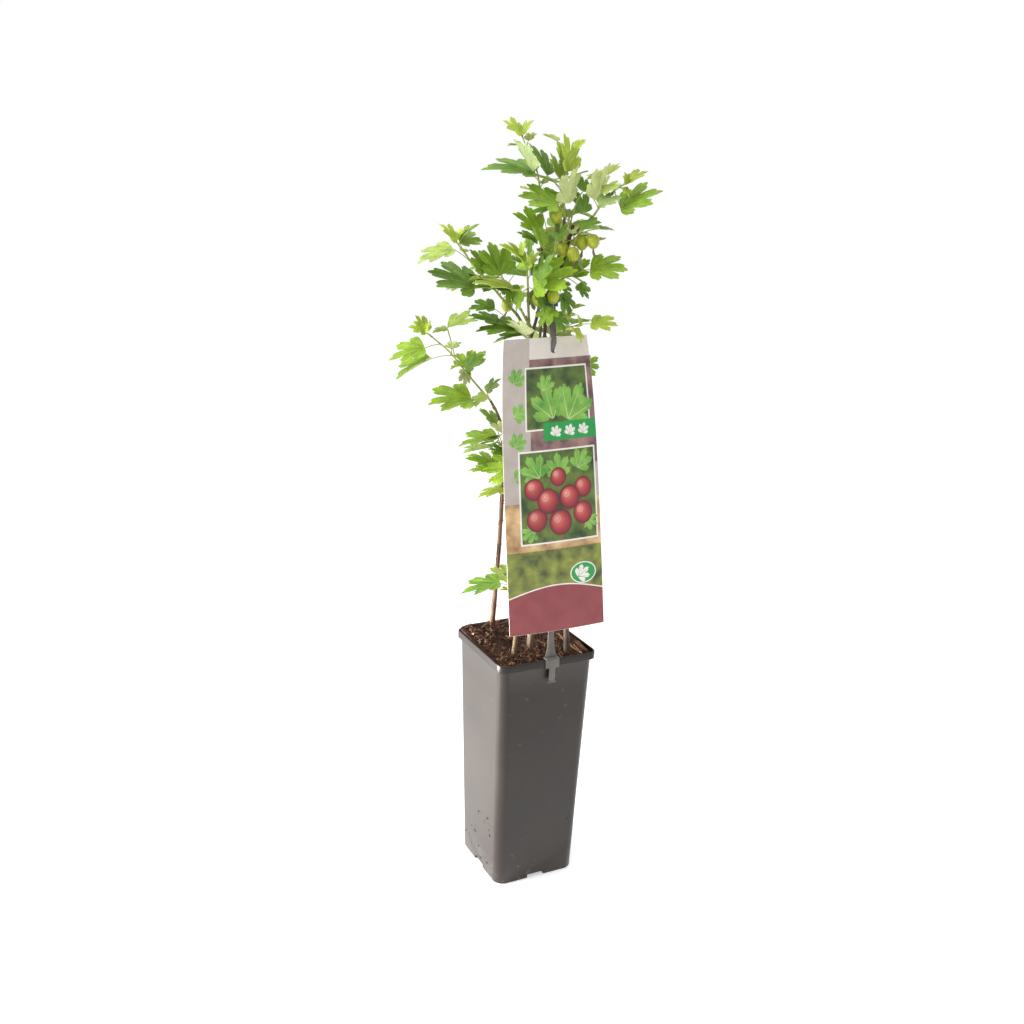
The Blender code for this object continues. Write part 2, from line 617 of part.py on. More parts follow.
def ruled_leaves(route, name, count, hidden_side):
    """Leaves set round the shoot by the golden angle, shorter towards its tip."""
    draw = random.Random(name)
    leaves = []
    for k in range(count):
        share = 0.1 + (0.6 if hidden_side else 0.88) * (k + draw.random() * 0.5) / count
        start, along = place_on(route, share)
        side = along.cross(BACK).normalized()
        away = side.cross(along).normalized()
        away = away if away.dot(BACK) > 0 else -away
        turn = k * GOLDEN_TURN + draw.uniform(-0.4, 0.4)
        if hidden_side:
            turn = HIDDEN_SPREAD * sin(turn)
        outward = away * cos(turn) + side * sin(turn)
        stalk_length = draw.uniform(*RULED_STALK) * (1 - RULED_SHRINK * share)
        length = draw.uniform(*RULED_LENGTH) * (1 - RULED_SHRINK * share)
        rise = (outward + along * 0.5 + UP * 0.25).normalized()
        lie = (outward + along * 0.15 + UP * draw.uniform(-0.25, 0.3)).normalized()
        stray = Vector((draw.uniform(-0.3, 0.3), draw.uniform(-0.3, 0.3), 0))
        look = (UP + outward * 0.35 + stray).normalized()
        leaves.append((start, start + rise * stalk_length, lie, look, length))
    return leaves


def turned(leaf, shift, swing, nod):
    """The same leaf raised, and swung sideways and nodded round its stalk's root."""
    start, end, along, look, length = leaf
    side = along.cross(UP).normalized()
    lean = UP * sin(radians(nod)) + side * sin(radians(swing))
    end = start + ((end - start).normalized() + lean * 0.5).normalized() * (end - start).length + UP * shift
    return start, end, (along + lean).normalized(), look, length


def tree_of(shape):
    return BVHTree.FromPolygons([tuple(p) for p in shape[0]], shape[1])


class Thicket:
    """All that has been placed, with its owner's name and its kind, so that no leaf grows through it."""

    def __init__(self):
        self.held = []

    def hold(self, owner, kind, shape):
        self.held.append((owner, kind, tree_of(shape)))

    def clear_of(self, shape, owner, own_kinds=()):
        """Whether a shape touches nothing; of its owner's things, only the kinds named count."""
        probe = tree_of(shape)
        return not any(probe.overlap(tree) for name, kind, tree in self.held
                       if name != owner or kind in own_kinds)


def leaf_shapes(leaf, slack=0.0):
    start, end, along, look, length = leaf
    return (stalk(start, end, along, STALK_RADIUS + slack),
            blade(end, along, look, length + 2 * slack, LEAF_THICKNESS + 3 * slack))


def find_room(thicket, name, choices):
    """The first of a leaf's places where it's clear of all but its own stem, or None."""
    for leaf in choices:
        root, plate = leaf_shapes(leaf, CLEARANCE)
        if thicket.clear_of(root, name) and thicket.clear_of(plate, name, ("stem", "blade")):
            root, plate = leaf_shapes(leaf)
            thicket.hold(name, "stalk", root)
            thicket.hold(name, "blade", plate)
            return leaf
    return None


def hang_berry(thicket, name, route, fruit):
    """A berry and its stalk, or nothing where there's no room."""
    centre = plan((fruit.across, fruit.back, fruit.up))
    root, _ = place_on(route, fruit.share)
    top = centre + UP * (BERRY_LENGTH / 2 - BERRY_SINK)
    pair = (berry(centre, BERRY_WIDTH, BERRY_LENGTH), stalk(root, top, -UP, STALK_RADIUS * 0.8))
    slack = berry(centre, BERRY_WIDTH + 2 * CLEARANCE, BERRY_LENGTH + 2 * CLEARANCE)
    if thicket.clear_of(slack, name, ("stem", "blade")) and thicket.clear_of(pair[1], name):
        thicket.hold(name, "blade", pair[0])
        thicket.hold(name, "stalk", pair[1])
        return pair
    return ()


def fill_crown(thicket, routes):
    """The shapes of each mass's leaves and berries: those of the tables first, then the ruled ones."""
    shapes = {name: [] for name in SHOOTS}
    for name, fruits in BERRIES.items():
        for fruit in fruits:
            shapes[name] += hang_berry(thicket, name, routes[name], fruit)
    for name, shoot in SHOOTS.items():
        for leaf in shoot.leaves:
            choices = (tabled_leaf(routes[name], leaf, shift, *turn)
                       for turn, shift in product(TURNS, SHIFTS))
            found = find_room(thicket, name, choices)
            if found:
                shapes[name] += leaf_shapes(found)
    for name, shoot in SHOOTS.items():
        for leaf in ruled_leaves(routes[name], name, shoot.spare, bool(shoot.leaves)):
            choices = (turned(leaf, shift, *turn) for turn, shift in product(TURNS, SHIFTS))
            found = find_room(thicket, name, choices)
            if found:
                shapes[name] += leaf_shapes(found)
    return shapes


def make_mass(name, stem, shapes, finish):
    """One mass of foliage in one solid: its stem, its leaves and its berries."""
    mass = solid(name, stem, finish, radians(20))
    combine(mass, [solid("piece", shape) for shape in shapes], "UNION", MASS_SOLVER)
    drop_scraps(mass)


def drop_scraps(thing):
    """Keep an object's largest body alone."""
    editable = bmesh.new()
    editable.from_mesh(thing.data)
    waiting = set(editable.verts)
    bodies = []
    while waiting:
        body = {waiting.pop()}
        edge = list(body)
        while edge:
            near = {e.other_vert(v) for v in edge for e in v.link_edges} - body
            body |= near
            edge = list(near)
        waiting -= body
        bodies.append(body)
    bodies.sort(key=len)
    scraps = [v for body in bodies[:-1] for v in body]
    bmesh.ops.delete(editable, geom=scraps, context="VERTS")
    editable.to_mesh(thing.data)
    editable.free()


def mesh_shape(thing):
    """An object's points in millimetres and its faces."""
    return ([v.co / MM for v in thing.data.vertices], [tuple(p.vertices) for p in thing.data.polygons])


def card_point(across, down, out):
    """A point of the label card's own plane: across it, down from its top edge, out in front."""
    wide = Vector((cos(CARD_TURN), sin(CARD_TURN), 0))
    front = Vector((sin(CARD_TURN), -cos(CARD_TURN), 0))
    fall = -UP * cos(CARD_SWING) + front * sin(CARD_SWING)
    out_way = front * cos(CARD_SWING) + UP * sin(CARD_SWING)
    level = across * cos(CARD_LEAN) - down * sin(CARD_LEAN)
    drop = across * sin(CARD_LEAN) + down * cos(CARD_LEAN)
    return plan(CARD_TOP) + wide * level + fall * drop + out_way * out


def sheet_point(across, down, out):
    """A point of the sheet itself: its sides bow back a little, and its top is twisted."""
    twist = CARD_TWIST * exp(-max(down, 0) / CARD_TWIST_REACH)
    out -= CARD_BOW * (2 * across / CARD_WIDTH) ** 2
    return card_point(across * cos(twist) + out * sin(twist), down, out * cos(twist) - across * sin(twist))


def make_card(finish):
    """The label: a thin bowed sheet with a slot for its strap."""
    columns, rows = 6, 7
    points = []
    for out in (CARD_THICKNESS / 2, -CARD_THICKNESS / 2):
        for r in range(rows + 1):
            for c in range(columns + 1):
                across = CARD_WIDTH * (c / columns - 0.5)
                down = CARD_LENGTH * (r / rows) ** CARD_ROW_POWER
                points.append(sheet_point(across, down, out))
    layer = (rows + 1) * (columns + 1)
    faces = []
    for r in range(rows):
        for c in range(columns):
            a = r * (columns + 1) + c
            quad = (a, a + 1, a + columns + 2, a + columns + 1)
            faces.append(quad)
            faces.append(tuple(layer + k for k in reversed(quad)))
    rim = [c for c in range(columns)]
    rim += [columns + r * (columns + 1) for r in range(rows)]
    rim += [layer - 1 - c for c in range(columns)]
    rim += [(rows - r) * (columns + 1) for r in range(rows)]
    for a, b in zip(rim, rim[1:] + rim[:1]):
        faces.append((a, b, layer + b, layer + a))
    card = solid("label_card", (points, faces), finish, radians(30))
    outline = rounded_rectangle(HOLE_WIDTH / 2, HOLE_LENGTH / 2, HOLE_WIDTH / 2 - 0.01, 0)
    slot = loft([[sheet_point(HOLE_ACROSS + x, HOLE_DOWN + y, out) for x, y, _ in outline]
                 for out in (-6, 6)])
    combine(card, [solid("slot", slot)], "DIFFERENCE")
    return card


def make_holder(finish):
    """The grey holder: a clip over the pot's rim, and a strap up through the card to the tie."""
    wide = Vector((cos(CARD_TURN), sin(CARD_TURN), 0))
    behind = -(CARD_THICKNESS / 2 + STRAP_THICKNESS / 2 + STRAP_BEHIND)
    before = CARD_THICKNESS / 2 + STRAP_THICKNESS / 2 + STRAP_BEFORE
    inner_y = -RIM_HALF + POT_WALL + GAP
    outer_y = -RIM_HALF - GAP
    clip_z = POT_HEIGHT + GAP
    foot = Vector((CLIP_X, inner_y - GAP + STRAP_THICKNESS / 2 + 1, clip_z + STRAP_THICKNESS / 2))
    path = [plan(STRAP_TOP), plan(STRAP_TOP) - UP * STRAP_STRAIGHT]
    slot_half = HOLE_LENGTH * 0.3
    for down, out in ((-8, before), (-2, before), (HOLE_DOWN - slot_half, before),
                      (HOLE_DOWN + slot_half, behind), (18, behind), (60, behind)):
        path.append(sheet_point(HOLE_ACROSS, down, out))
    low = path[-1]
    path += [low.lerp(foot, share) for share in (0.3, 0.6, 0.9, 0.96, 1)]
    widths = [STRAP_WIDTH] * (len(path) - 3) + [STRAP_FLARE, 2 * STRAP_FLARE - STRAP_WIDTH,
                                                CLIP_WIDTH - CLIP_NARROWING]
    strap = ribbon(path, wide, widths, [STRAP_THICKNESS] * len(path))
    holder = solid("label_holder", strap, finish, radians(30))
    half = CLIP_WIDTH / 2
    narrow = half - CLIP_NARROWING
    tongue = TONGUE_WIDTH / 2
    pieces = (
        box((CLIP_X - half, outer_y - CLIP_WALL, clip_z),
            (CLIP_X + half, inner_y + 2 * CLIP_WALL, clip_z + CLIP_WALL)),
        box((CLIP_X - half, outer_y - CLIP_WALL, POT_HEIGHT - CLIP_DROP),
            (CLIP_X + half, outer_y, clip_z + 1)),
        box((CLIP_X - narrow, inner_y, SOIL_LEVEL + 3), (CLIP_X + narrow, inner_y + CLIP_WALL, clip_z + 1)),
        box((CLIP_X - tongue, outer_y - CLIP_WALL + 0.1, POT_HEIGHT - TONGUE_DROP),
            (CLIP_X + tongue, outer_y - 0.1, POT_HEIGHT - CLIP_DROP + 1)),
        box((CLIP_X - tongue - LIP_OUT, outer_y - CLIP_WALL - 0.2, POT_HEIGHT - TONGUE_DROP - CLIP_WALL),
            (CLIP_X + tongue + LIP_OUT, outer_y + GAP, POT_HEIGHT - TONGUE_DROP + 0.2)))
    combine(holder, [solid("clip_piece", shape) for shape in pieces], "UNION")
    return holder


def make_tie(finish):
    """The band that holds the canes and the strap together."""
    centre = plan(TIE_PLACE)
    rings = []
    for out, z in ((TIE_WIRE, 0), (TIE_WIRE, TIE_HEIGHT), (0, TIE_HEIGHT), (0, 0)):
        ring = rounded_rectangle(TIE_HALF_WIDTH + out, TIE_HALF_DEPTH + out, TIE_CORNER + out, z)
        rings.append([centre + ACROSS * x + BACK * y + UP * h for x, y, h in ring])
    count = len(rings[0])
    points = [p for ring in rings for p in ring]
    faces = []
    for k in range(4):
        for i in range(count):
            j = (i + 1) % count
            a, b = k * count, (k + 1) % 4 * count
            faces.append((a + i, a + j, b + j, b + i))
    return solid("tie", (points, faces), finish)


def main():
    clear_scene()
    grey = material("grey plastic", (0.11, 0.105, 0.10), 0.42)
    compost = material("compost", (0.06, 0.035, 0.02), 0.95)
    bark = material("bark", (0.16, 0.10, 0.07), 0.8)
    green = material("leaf green", (0.13, 0.30, 0.04), 0.5)
    paper = material("printed card", (0.55, 0.50, 0.46), 0.35)
    pale_grey = material("pale grey plastic", (0.30, 0.31, 0.30), 0.45)
    teal = material("teal tie", (0.02, 0.16, 0.14), 0.4)

    thicket = Thicket()
    limbs = {}
    feet = []
    for name, cane in CANES.items():
        route = cane_route(name)
        feet.append((route[0], cane.radii[0] * FLARE))
        shape = tube(route, cane.radii, level_foot=True, flare=FLARE)
        solid(name, shape, bark)
        thicket.hold(name, "limb", shape)
        limbs[name] = (route, cane.radii)
    for name, bough in BOUGHS.items():
        points = [plan(p) for p in bough.route]
        parent_route, parent_radii = limbs[bough.parent]
        start = leave_limb(parent_route, parent_radii, bough.height, points[0], bough.radii[0])
        route = smooth_route([start] + points)
        shape = tube(route, bough.radii, sides=6)
        solid(name, shape, bark)
        thicket.hold(name, "limb", shape)
        limbs[name] = (route, bough.radii)
    things = (make_pot(grey), make_soil(compost, feet), make_card(paper), make_holder(pale_grey),
              make_tie(teal))
    for thing in things:
        thicket.hold(thing.name, "thing", mesh_shape(thing))

    routes = {}
    stems = {}
    for name, shoot in SHOOTS.items():
        points = [plan(p) for p in shoot.route]
        parent_route, parent_radii = limbs[shoot.parent]
        if shoot.height is None:
            start = beyond_tip(parent_route, points[0], shoot.radii[0])
        else:
            start = leave_limb(parent_route, parent_radii, shoot.height, points[0], shoot.radii[0])
        routes[name] = smooth_route([start] + points)
        stems[name] = tube(routes[name], shoot.radii, sides=4)
        thicket.hold(name, "stem", stems[name])
    for name, shapes in fill_crown(thicket, routes).items():
        make_mass(name, stems[name], shapes, green)


main()
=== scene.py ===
"""The looks of a young red gooseberry bush in its nursery pot, built round its solids.

Lengths are in millimetres until a piece's mesh is made. The bush is laid out in the frame that
it was photographed in, turned by VIEW_TURN from the pot's: across, back and up.
"""
import json
import random
from collections import namedtuple
from functools import partial
from itertools import product
from math import atan2, cos, exp, hypot, pi, radians, sin

import bmesh
import bpy
import numpy as np
from mathutils import Matrix, Vector, noise
from mathutils.bvhtree import BVHTree

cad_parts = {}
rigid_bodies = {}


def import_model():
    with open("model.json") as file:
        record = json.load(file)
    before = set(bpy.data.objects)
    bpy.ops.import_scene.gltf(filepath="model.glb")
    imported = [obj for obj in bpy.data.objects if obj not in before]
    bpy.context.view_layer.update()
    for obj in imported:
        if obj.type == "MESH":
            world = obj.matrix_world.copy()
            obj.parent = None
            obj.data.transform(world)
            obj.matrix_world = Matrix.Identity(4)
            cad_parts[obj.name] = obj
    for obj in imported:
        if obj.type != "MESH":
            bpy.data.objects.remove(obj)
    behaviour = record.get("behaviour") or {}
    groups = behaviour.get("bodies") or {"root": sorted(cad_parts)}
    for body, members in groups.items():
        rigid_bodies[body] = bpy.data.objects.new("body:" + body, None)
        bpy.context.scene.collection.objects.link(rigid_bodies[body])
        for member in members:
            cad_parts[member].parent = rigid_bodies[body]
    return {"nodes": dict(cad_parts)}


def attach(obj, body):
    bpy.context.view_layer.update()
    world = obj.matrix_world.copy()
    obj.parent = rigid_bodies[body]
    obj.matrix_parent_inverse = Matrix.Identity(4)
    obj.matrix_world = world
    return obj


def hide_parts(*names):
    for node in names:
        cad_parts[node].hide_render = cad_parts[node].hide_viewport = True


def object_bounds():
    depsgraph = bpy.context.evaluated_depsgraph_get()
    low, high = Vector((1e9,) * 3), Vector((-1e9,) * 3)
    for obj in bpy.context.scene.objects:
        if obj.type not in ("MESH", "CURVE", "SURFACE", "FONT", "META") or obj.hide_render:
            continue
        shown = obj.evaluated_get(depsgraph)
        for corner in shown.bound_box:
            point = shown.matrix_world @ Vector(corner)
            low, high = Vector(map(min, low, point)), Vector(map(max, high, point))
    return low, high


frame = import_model()
CAD_BOX = [list(corner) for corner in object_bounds()]

MM = 0.001
GAP = 0.3
VIEW_TURN = radians(26.85)
ACROSS = Vector((cos(VIEW_TURN), -sin(VIEW_TURN), 0))
BACK = Vector((sin(VIEW_TURN), cos(VIEW_TURN), 0))
UP = Vector((0, 0, 1))

# Pot
POT_HEIGHT = 243.0
POT_WALL = 1.5
POT_FLOOR = 1.6
FOOT_HALF = 43.7
BODY_HALF = 50.2
BODY_CORNER = 10.8
RIM_HALF = 52.5
RIM_CORNER = 8.6
RIM_DEPTH = 7.6
RIM_FOOT = POT_HEIGHT - RIM_DEPTH
EDGE_ROUND = 0.8
NOTCH_WIDTH = 19.0
NOTCH_HEIGHT = 4.5
NOTCH_REACH = 15.0
DRAIN_RADIUS = 3.5
CUT_MARGIN = 3.0

# Compost
SOIL_LEVEL = 239.2
SOIL_HEAP = 6.5
SOIL_LUMPS = 0.8
FOOT_SINK = 1.0

# Label card, holder and tie
CARD_WIDTH = 98.0
CARD_LENGTH = 275.0
CARD_THICKNESS = 0.7
CARD_TOP = (8.8, -12.5, 543.5)
CARD_TURN = radians(-5)
CARD_SWING = radians(7)
CARD_LEAN = radians(-2.1)
CARD_BOW = 3.0
CARD_TWIST = radians(17)
CARD_TWIST_REACH = 80.0
HOLE_ACROSS = 5.2
HOLE_DOWN = 8.5
HOLE_WIDTH = 6.4
HOLE_LENGTH = 12.0
STRAP_WIDTH = 4.6
STRAP_THICKNESS = 1.3
STRAP_TOP = (12.3, -5.0, 579.0)
STRAP_STRAIGHT = 11.5
STRAP_FLARE = 6.0
STRAP_BEFORE = 0.9
STRAP_BEHIND = 0.9
CLIP_X = 2.0
CLIP_WIDTH = 14.6
CLIP_WALL = 1.4
CLIP_DROP = 8.2
CLIP_NARROWING = 2.0
TONGUE_WIDTH = 6.6
TONGUE_DROP = 22.0
LIP_OUT = 1.2
TIE_PLACE = (6.4, -1.25, 569.5)
TIE_HALF_WIDTH = 9.1
TIE_HALF_DEPTH = 5.6
TIE_CORNER = 3.0
TIE_WIRE = 1.2
TIE_HEIGHT = 7.0

# Leaf: one half of its outline, as turns from the midrib in degrees and reaches
LEAF_OUTLINE = ((14, 0.72), (34, 0.96), (48, 0.62), (63, 0.60))
LEAF_HEART = 0.30
LEAF_THICKNESS = 0.6
LEAF_FOLD = 0.22
LEAF_DROOP = 0.10
STALK_RADIUS = 0.65
STALK_SINK = 2.0
STALK_FLARE = 1.3
STALK_TIP = 0.5
CLEARANCE = 0.3
BERRY_WIDTH = 11.0
BERRY_LENGTH = 13.0
BERRY_SINK = 1.5
BERRY_STALK_RADIUS = STALK_RADIUS * 0.8

Limb = namedtuple("Limb", "route radii")
Bough = namedtuple("Bough", "parent height route radii")
Shoot = namedtuple("Shoot", "parent height route radii leaves spare")
Leaf = namedtuple("Leaf", "share stalk_turn stalk turn length toward face tone")
Berry = namedtuple("Berry", "share across back up")

# Leaves that grow by rule, largest at the shoot's foot
RULED_STALK = (10, 17)
RULED_LENGTH = (27, 36)
RULED_SHRINK = 0.4
GOLDEN_TURN = 2.4
FULL_TURN = 6.28
HIDDEN_SPREAD = 1.25

# Canes: their feet stand on the compost, so the first height is only a guide
CANES = {
    "cane_left": Limb([(-34, 27, 243), (-30, 23, 320), (-28, 18, 391), (-26, 13, 441), (-20, 9, 490),
                       (-6, 4, 543), (0, 2, 573), (0, 1, 609), (-2, 0, 650)], (2.6, 1.9, 1.6, 1.2)),
    "cane_front": Limb([(-11, -32, 236), (-7, -23, 311), (-2, -12, 410), (0, -6, 500), (3.5, -2.5, 573),
                        (10, -4, 585)], (2.2, 1.6, 1.4, 1.2)),
    "cane_middle": Limb([(5, -11, 237), (6, -2, 407), (6, 0, 500), (6.5, 1, 573), (14, 0, 607),
                         (19, 0, 648)], (3.4, 2.2, 1.7, 1.3)),
    "cane_right": Limb([(41, -16, 235), (26, -4, 408), (17, -1, 500), (10.6, 1.9, 573), (19, 3, 607),
                        (27, 3, 642)], (2.9, 2.2, 1.7, 1.4)),
}
FLARE = 1.35
FLARE_REACH = 9.0

# Boughs: the parent cane, the height at which they leave it, their route and radii
BOUGHS = {
    "bough_low_left": Bough("cane_left", 447, [(-35, 8, 467), (-42, 5, 480)], (1.5, 1.2)),
    "bough_high_left": Bough("cane_left", 541, [(-19, 6, 559), (-31, 6, 571)], (1.4, 1.2)),
    "bough_mid": Bough("cane_left", 524, [(-8, -4, 540), (-10, -6, 566), (-11, -8, 583)], (1.3, 1.1)),
    "bough_right": Bough("cane_right", 634, [(37, 1, 643), (44, 0, 650)], (1.3, 1.1)),
    "bough_back_left": Bough("cane_left", 548, [(-12, 18, 556), (-22, 34, 572)], (1.3, 1.0)),
    "bough_back_right": Bough("cane_right", 590, [(18, 16, 602), (20, 32, 624)], (1.3, 1.0)),
    "bough_back_low": Bough("cane_middle", 470, [(8, 16, 488), (12, 34, 508)], (1.3, 1.0)),
}

# Leafy shoots. Each stands on a limb's tip, or grows from a cane where a height is given. A leaf's
# row gives its share along the shoot, the turn and length of its stalk, the turn and length of its
# blade, how far it comes toward the viewer, how far its upper side rolls from edge-on towards
# the viewer, and its tone. The last number is how many more leaves grow by rule.
SHOOTS = {
    "leaves_low_left": Shoot("bough_low_left", None,
                             [(-62, 0, 503), (-80, -4, 525), (-99, -8, 541)], (1.1, 0.6), [
        (0.02, 110, 7, 55, 17, 0, 20, "g"), (0.04, 95, 3, 210, 20, 10, 20, "l"),
        (0.06, 190, 14, 180, 42, 15, 20, "b"), (0.3, 125, 12, 45, 22, 0, 25, "d"),
        (0.36, 110, 6, 260, 15, 10, -45, "p"), (0.62, 105, 29, 20, 29, 10, 10, "l"),
        (0.62, 105, 28, 190, 14, 10, 15, "l"), (0.66, 190, 20, 205, 37, 15, 5, "m"),
        (0.84, 195, 15, 195, 33, 12, 30, "b"), (0.96, 150, 7, 120, 18, 0, 30, "y"),
        (0.98, 155, 6, 155, 16, 15, 20, "y"), (0.99, 125, 4, 85, 12, -10, 20, "y")], 1),
    "leaves_high_left": Shoot("bough_high_left", None,
                              [(-49, 4, 591), (-66, 2, 610), (-78, 0, 625)], (1.1, 0.6), [
        (0.05, 45, 15, 165, 38, 10, 5, "o"), (0.12, 45, 11, 300, 18, 15, 55, "m"),
        (0.02, 15, 22, 320, 16, -15, 45, "g"), (0.22, 180, 18, 155, 45, 12, 20, "d"),
        (0.3, 45, 12, 105, 32, -10, 60, "m"), (0.46, 30, 4, 120, 24, 0, 35, "m"),
        (0.62, 145, 23, 195, 34, 15, 20, "l"), (0.84, 115, 8, 10, 22, -15, 35, "p"),
        (0.93, 65, 7, 45, 20, -20, 15, "p"), (0.97, 160, 1, 125, 20, 10, 20, "y"),
        (0.98, 60, 2, 60, 13, 0, 20, "y"), (0.4, 300, 6, 350, 22, 0, 20, "d")], 2),
    "leaves_mid": Shoot("bough_mid", None, [(-13, -10, 604), (-18, -12, 613)], (1.0, 0.6), [
        (0.45, 205, 2, 170, 21, -10, 10, "d"), (0.75, 140, 4, 155, 12, -10, 30, "d"),
        (0.8, 325, 4, 60, 16, 15, 25, "y"), (0.92, 320, 3, 140, 27, 15, 15, "y"),
        (0.3, 60, 4, 95, 22, 5, 10, "d"), (0.1, 340, 6, 290, 20, 0, 25, "d"),
        (0.05, 200, 5, 250, 20, -8, 25, "m"), (0.96, 95, 3, 85, 15, 0, 20, "y")], 0),
    "leaves_top_left": Shoot("cane_left", None,
                             [(-4, 0, 671), (-9, -2, 692), (-17, -4, 706), (-22, -6, 716)], (1.1, 0.5), [
        (0.03, 270, 18, 145, 29, 15, 35, "b"), (0.05, 265, 28, 150, 20, 10, 15, "d"),
        (0.45, 130, 4, 170, 44, 12, 20, "d"), (0.6, 250, 6, 120, 30, -5, -15, "g"),
        (0.97, 120, 3, 145, 19, 15, 25, "y"), (0.98, 100, 2, 55, 14, 10, 30, "y"),
        (0.04, 250, 22, 262, 22, 0, 20, "d"), (0.06, 288, 24, 278, 20, -5, 30, "m")], 3),
    "leaves_top": Shoot("cane_middle", None, [(16, 0, 667), (16, -2, 687), (16, -3, 700)], (1.1, 0.5), [
        (0.05, 130, 8, 190, 26, 10, 20, "d"), (0.18, 160, 6, 150, 36, 15, 25, "m"),
        (0.4, 135, 20, 115, 31, -5, 20, "d"), (0.48, 110, 9, 110, 22, -12, 30, "l"),
        (0.58, 290, 19, 85, 33, 12, -35, "w"), (0.8, 140, 1, 100, 24, 10, 20, "y"),
        (0.85, 300, 6, 95, 32, 5, 25, "y"), (0.9, 110, 19, 150, 15, -20, 15, "l"),
        (0.95, 45, 13, 45, 12, -10, 30, "y")], 2),
    "leaves_right": Shoot("bough_right", None, [(51, -3, 661), (59, -6, 671), (70, -10, 679)], (1.0, 0.5), [
        (0.2, 125, 13, 80, 20, -10, 15, "y"), (0.25, 125, 6, 75, 32, -5, -35, "w"),
        (0.35, 200, 5, 25, 20, 10, 25, "g"), (0.55, 155, 7, 30, 19, 10, 20, "l"),
        (0.7, 295, 16, 30, 38, 12, 25, "m"), (0.95, 20, 2, 100, 10, 5, 35, "y"),
        (0.97, 5, 2, 35, 21, 0, 20, "o")], 1),
    "leaves_cane_left": Shoot("cane_left", 436, [(-32, 6, 439), (-35, 3, 442)], (0.9, 0.6), [
        (0.5, 115, 7, 185, 35, 10, 5, "m"), (0.3, 85, 12, 140, 17, 10, -40, "p"),
        (0.9, 85, 6, 200, 17, 20, 0, "o")], 2),
    "leaves_cane_low": Shoot("cane_left", 404, [(-30, 9, 407), (-30, 5, 410)], (0.9, 0.6), [
        (0.9, 30, 20, 185, 34, 0, 60, "b"), (0.6, 80, 24, 155, 18, 10, 15, "d"),
        (0.4, 295, 14, 185, 30, 12, 0, "o")], 2),
    "leaves_foot": Shoot("cane_front", 300, [(-13, -28, 306)], (0.8, 0.6), [
        (0.95, 155, 15, 190, 36, 10, 5, "d"), (0.6, 115, 14, 155, 9, -20, 10, "d")], 1),
    "leaves_under": Shoot("cane_left", 538, [(-13, -1, 543), (-18, -6, 547)], (0.9, 0.6), [
        (0.2, 155, 31, 160, 26, -5, 15, "d"), (0.35, 165, 3, 185, 26, 10, 5, "d"),
        (0.5, 150, 9, 175, 37, 12, 15, "d"), (0.6, 125, 4, 150, 18, -5, 15, "d"),
        (0.9, 355, 7, 135, 24, 15, -35, "p"), (0.7, 140, 33, 175, 24, 5, 15, "d")], 1),
    "leaves_right_up": Shoot("cane_middle", 622, [(23, 6, 634), (27, 9, 655), (33, 8, 670)], (0.9, 0.5), [
        (0.6, 10, 11, 110, 21, -10, 40, "d"), (0.9, 55, 7, 100, 16, -20, 40, "d"),
        (0.05, 235, 16, 145, 17, -10, 40, "d"), (0.3, 165, 13, 80, 20, 0, 30, "d")], 2),
    "leaves_fruit": Shoot("cane_right", 628, [(30, -4, 632), (35, -7, 637)], (0.9, 0.6), [
        (0.6, 75, 6, 25, 21, 15, 20, "d"), (0.8, 15, 19, 360, 13, -20, 15, "g"),
        (0.3, 280, 18, 305, 14, -15, 25, "g")], 1),
    "leaves_heart_right": Shoot("cane_right", 594, [(24, -3, 597), (29, -6, 599)], (0.9, 0.6), [
        (0.9, 20, 17, 10, 33, 12, 35, "b"), (0.5, 330, 12, 315, 16, 10, 40, "d"),
        (0.3, 260, 14, 305, 22, 15, 30, "d"), (0.4, 215, 9, 345, 16, 5, 30, "d")], 1),
    "leaves_heart_front": Shoot("cane_front", None, [(11, -9, 604), (9, -11, 622)], (0.9, 0.6), [
        (0.2, 190, 18, 30, 40, 18, 35, "b"), (0.35, 205, 13, 75, 27, 5, 25, "d"),
        (0.05, 275, 18, 225, 20, 20, 40, "m"), (0.85, 80, 13, 60, 16, 5, 40, "d"),
        (0.9, 152, 10, 118, 21, 5, 25, "m")], 0),
    "leaves_right_low": Shoot("cane_right", 545,
                              [(19, -5, 549), (28, -10, 553), (35, -12, 555)], (0.8, 0.5), [
        (0.3, 115, 17, 310, 19, 10, 30, "d"), (0.5, 70, 20, 25, 12, -15, 15, "l"),
        (0.9, 350, 4, 95, 11, 0, 15, "y"), (0.95, 10, 13, 5, 25, 12, 25, "y")], 1),
    "leaves_cane_right": Shoot("cane_right", 500, [(25, 4, 503), (30, 7, 506)], (0.8, 0.6), [
        (0.8, 35, 19, 350, 17, -5, 80, "m")], 3),
    "leaves_back_left": Shoot("bough_back_left", None, [(-33, 48, 586), (-44, 58, 606)], (1.0, 0.5), [], 7),
    "leaves_back_right": Shoot("bough_back_right", None, [(23, 44, 638), (25, 50, 650)], (1.0, 0.5), [], 8),
    "leaves_back_low": Shoot("bough_back_low", None, [(15, 50, 528), (16, 64, 548)], (1.0, 0.5), [], 8),
}

# Berries: the share of the shoot they hang from, and their centre
BERRIES = {
    "leaves_top": [Berry(0.05, 10.9, -9, 649)],
    "leaves_fruit": [Berry(0.3, 18.5, -6, 620.5), Berry(0.5, 27.5, -14, 617.5),
                     Berry(0.8, 35.1, -7, 627), Berry(0.95, 44.6, -14, 629)],
    "leaves_heart_front": [Berry(0.1, 7.4, -9, 592), Berry(0.05, 11.4, -18, 580.3),
                           Berry(0.08, -1.9, -14, 577)],
    "leaves_back_right": [Berry(0.15, 22, 42, 622)],
    "leaves_back_left": [Berry(0.2, -30, 44, 565)],
}
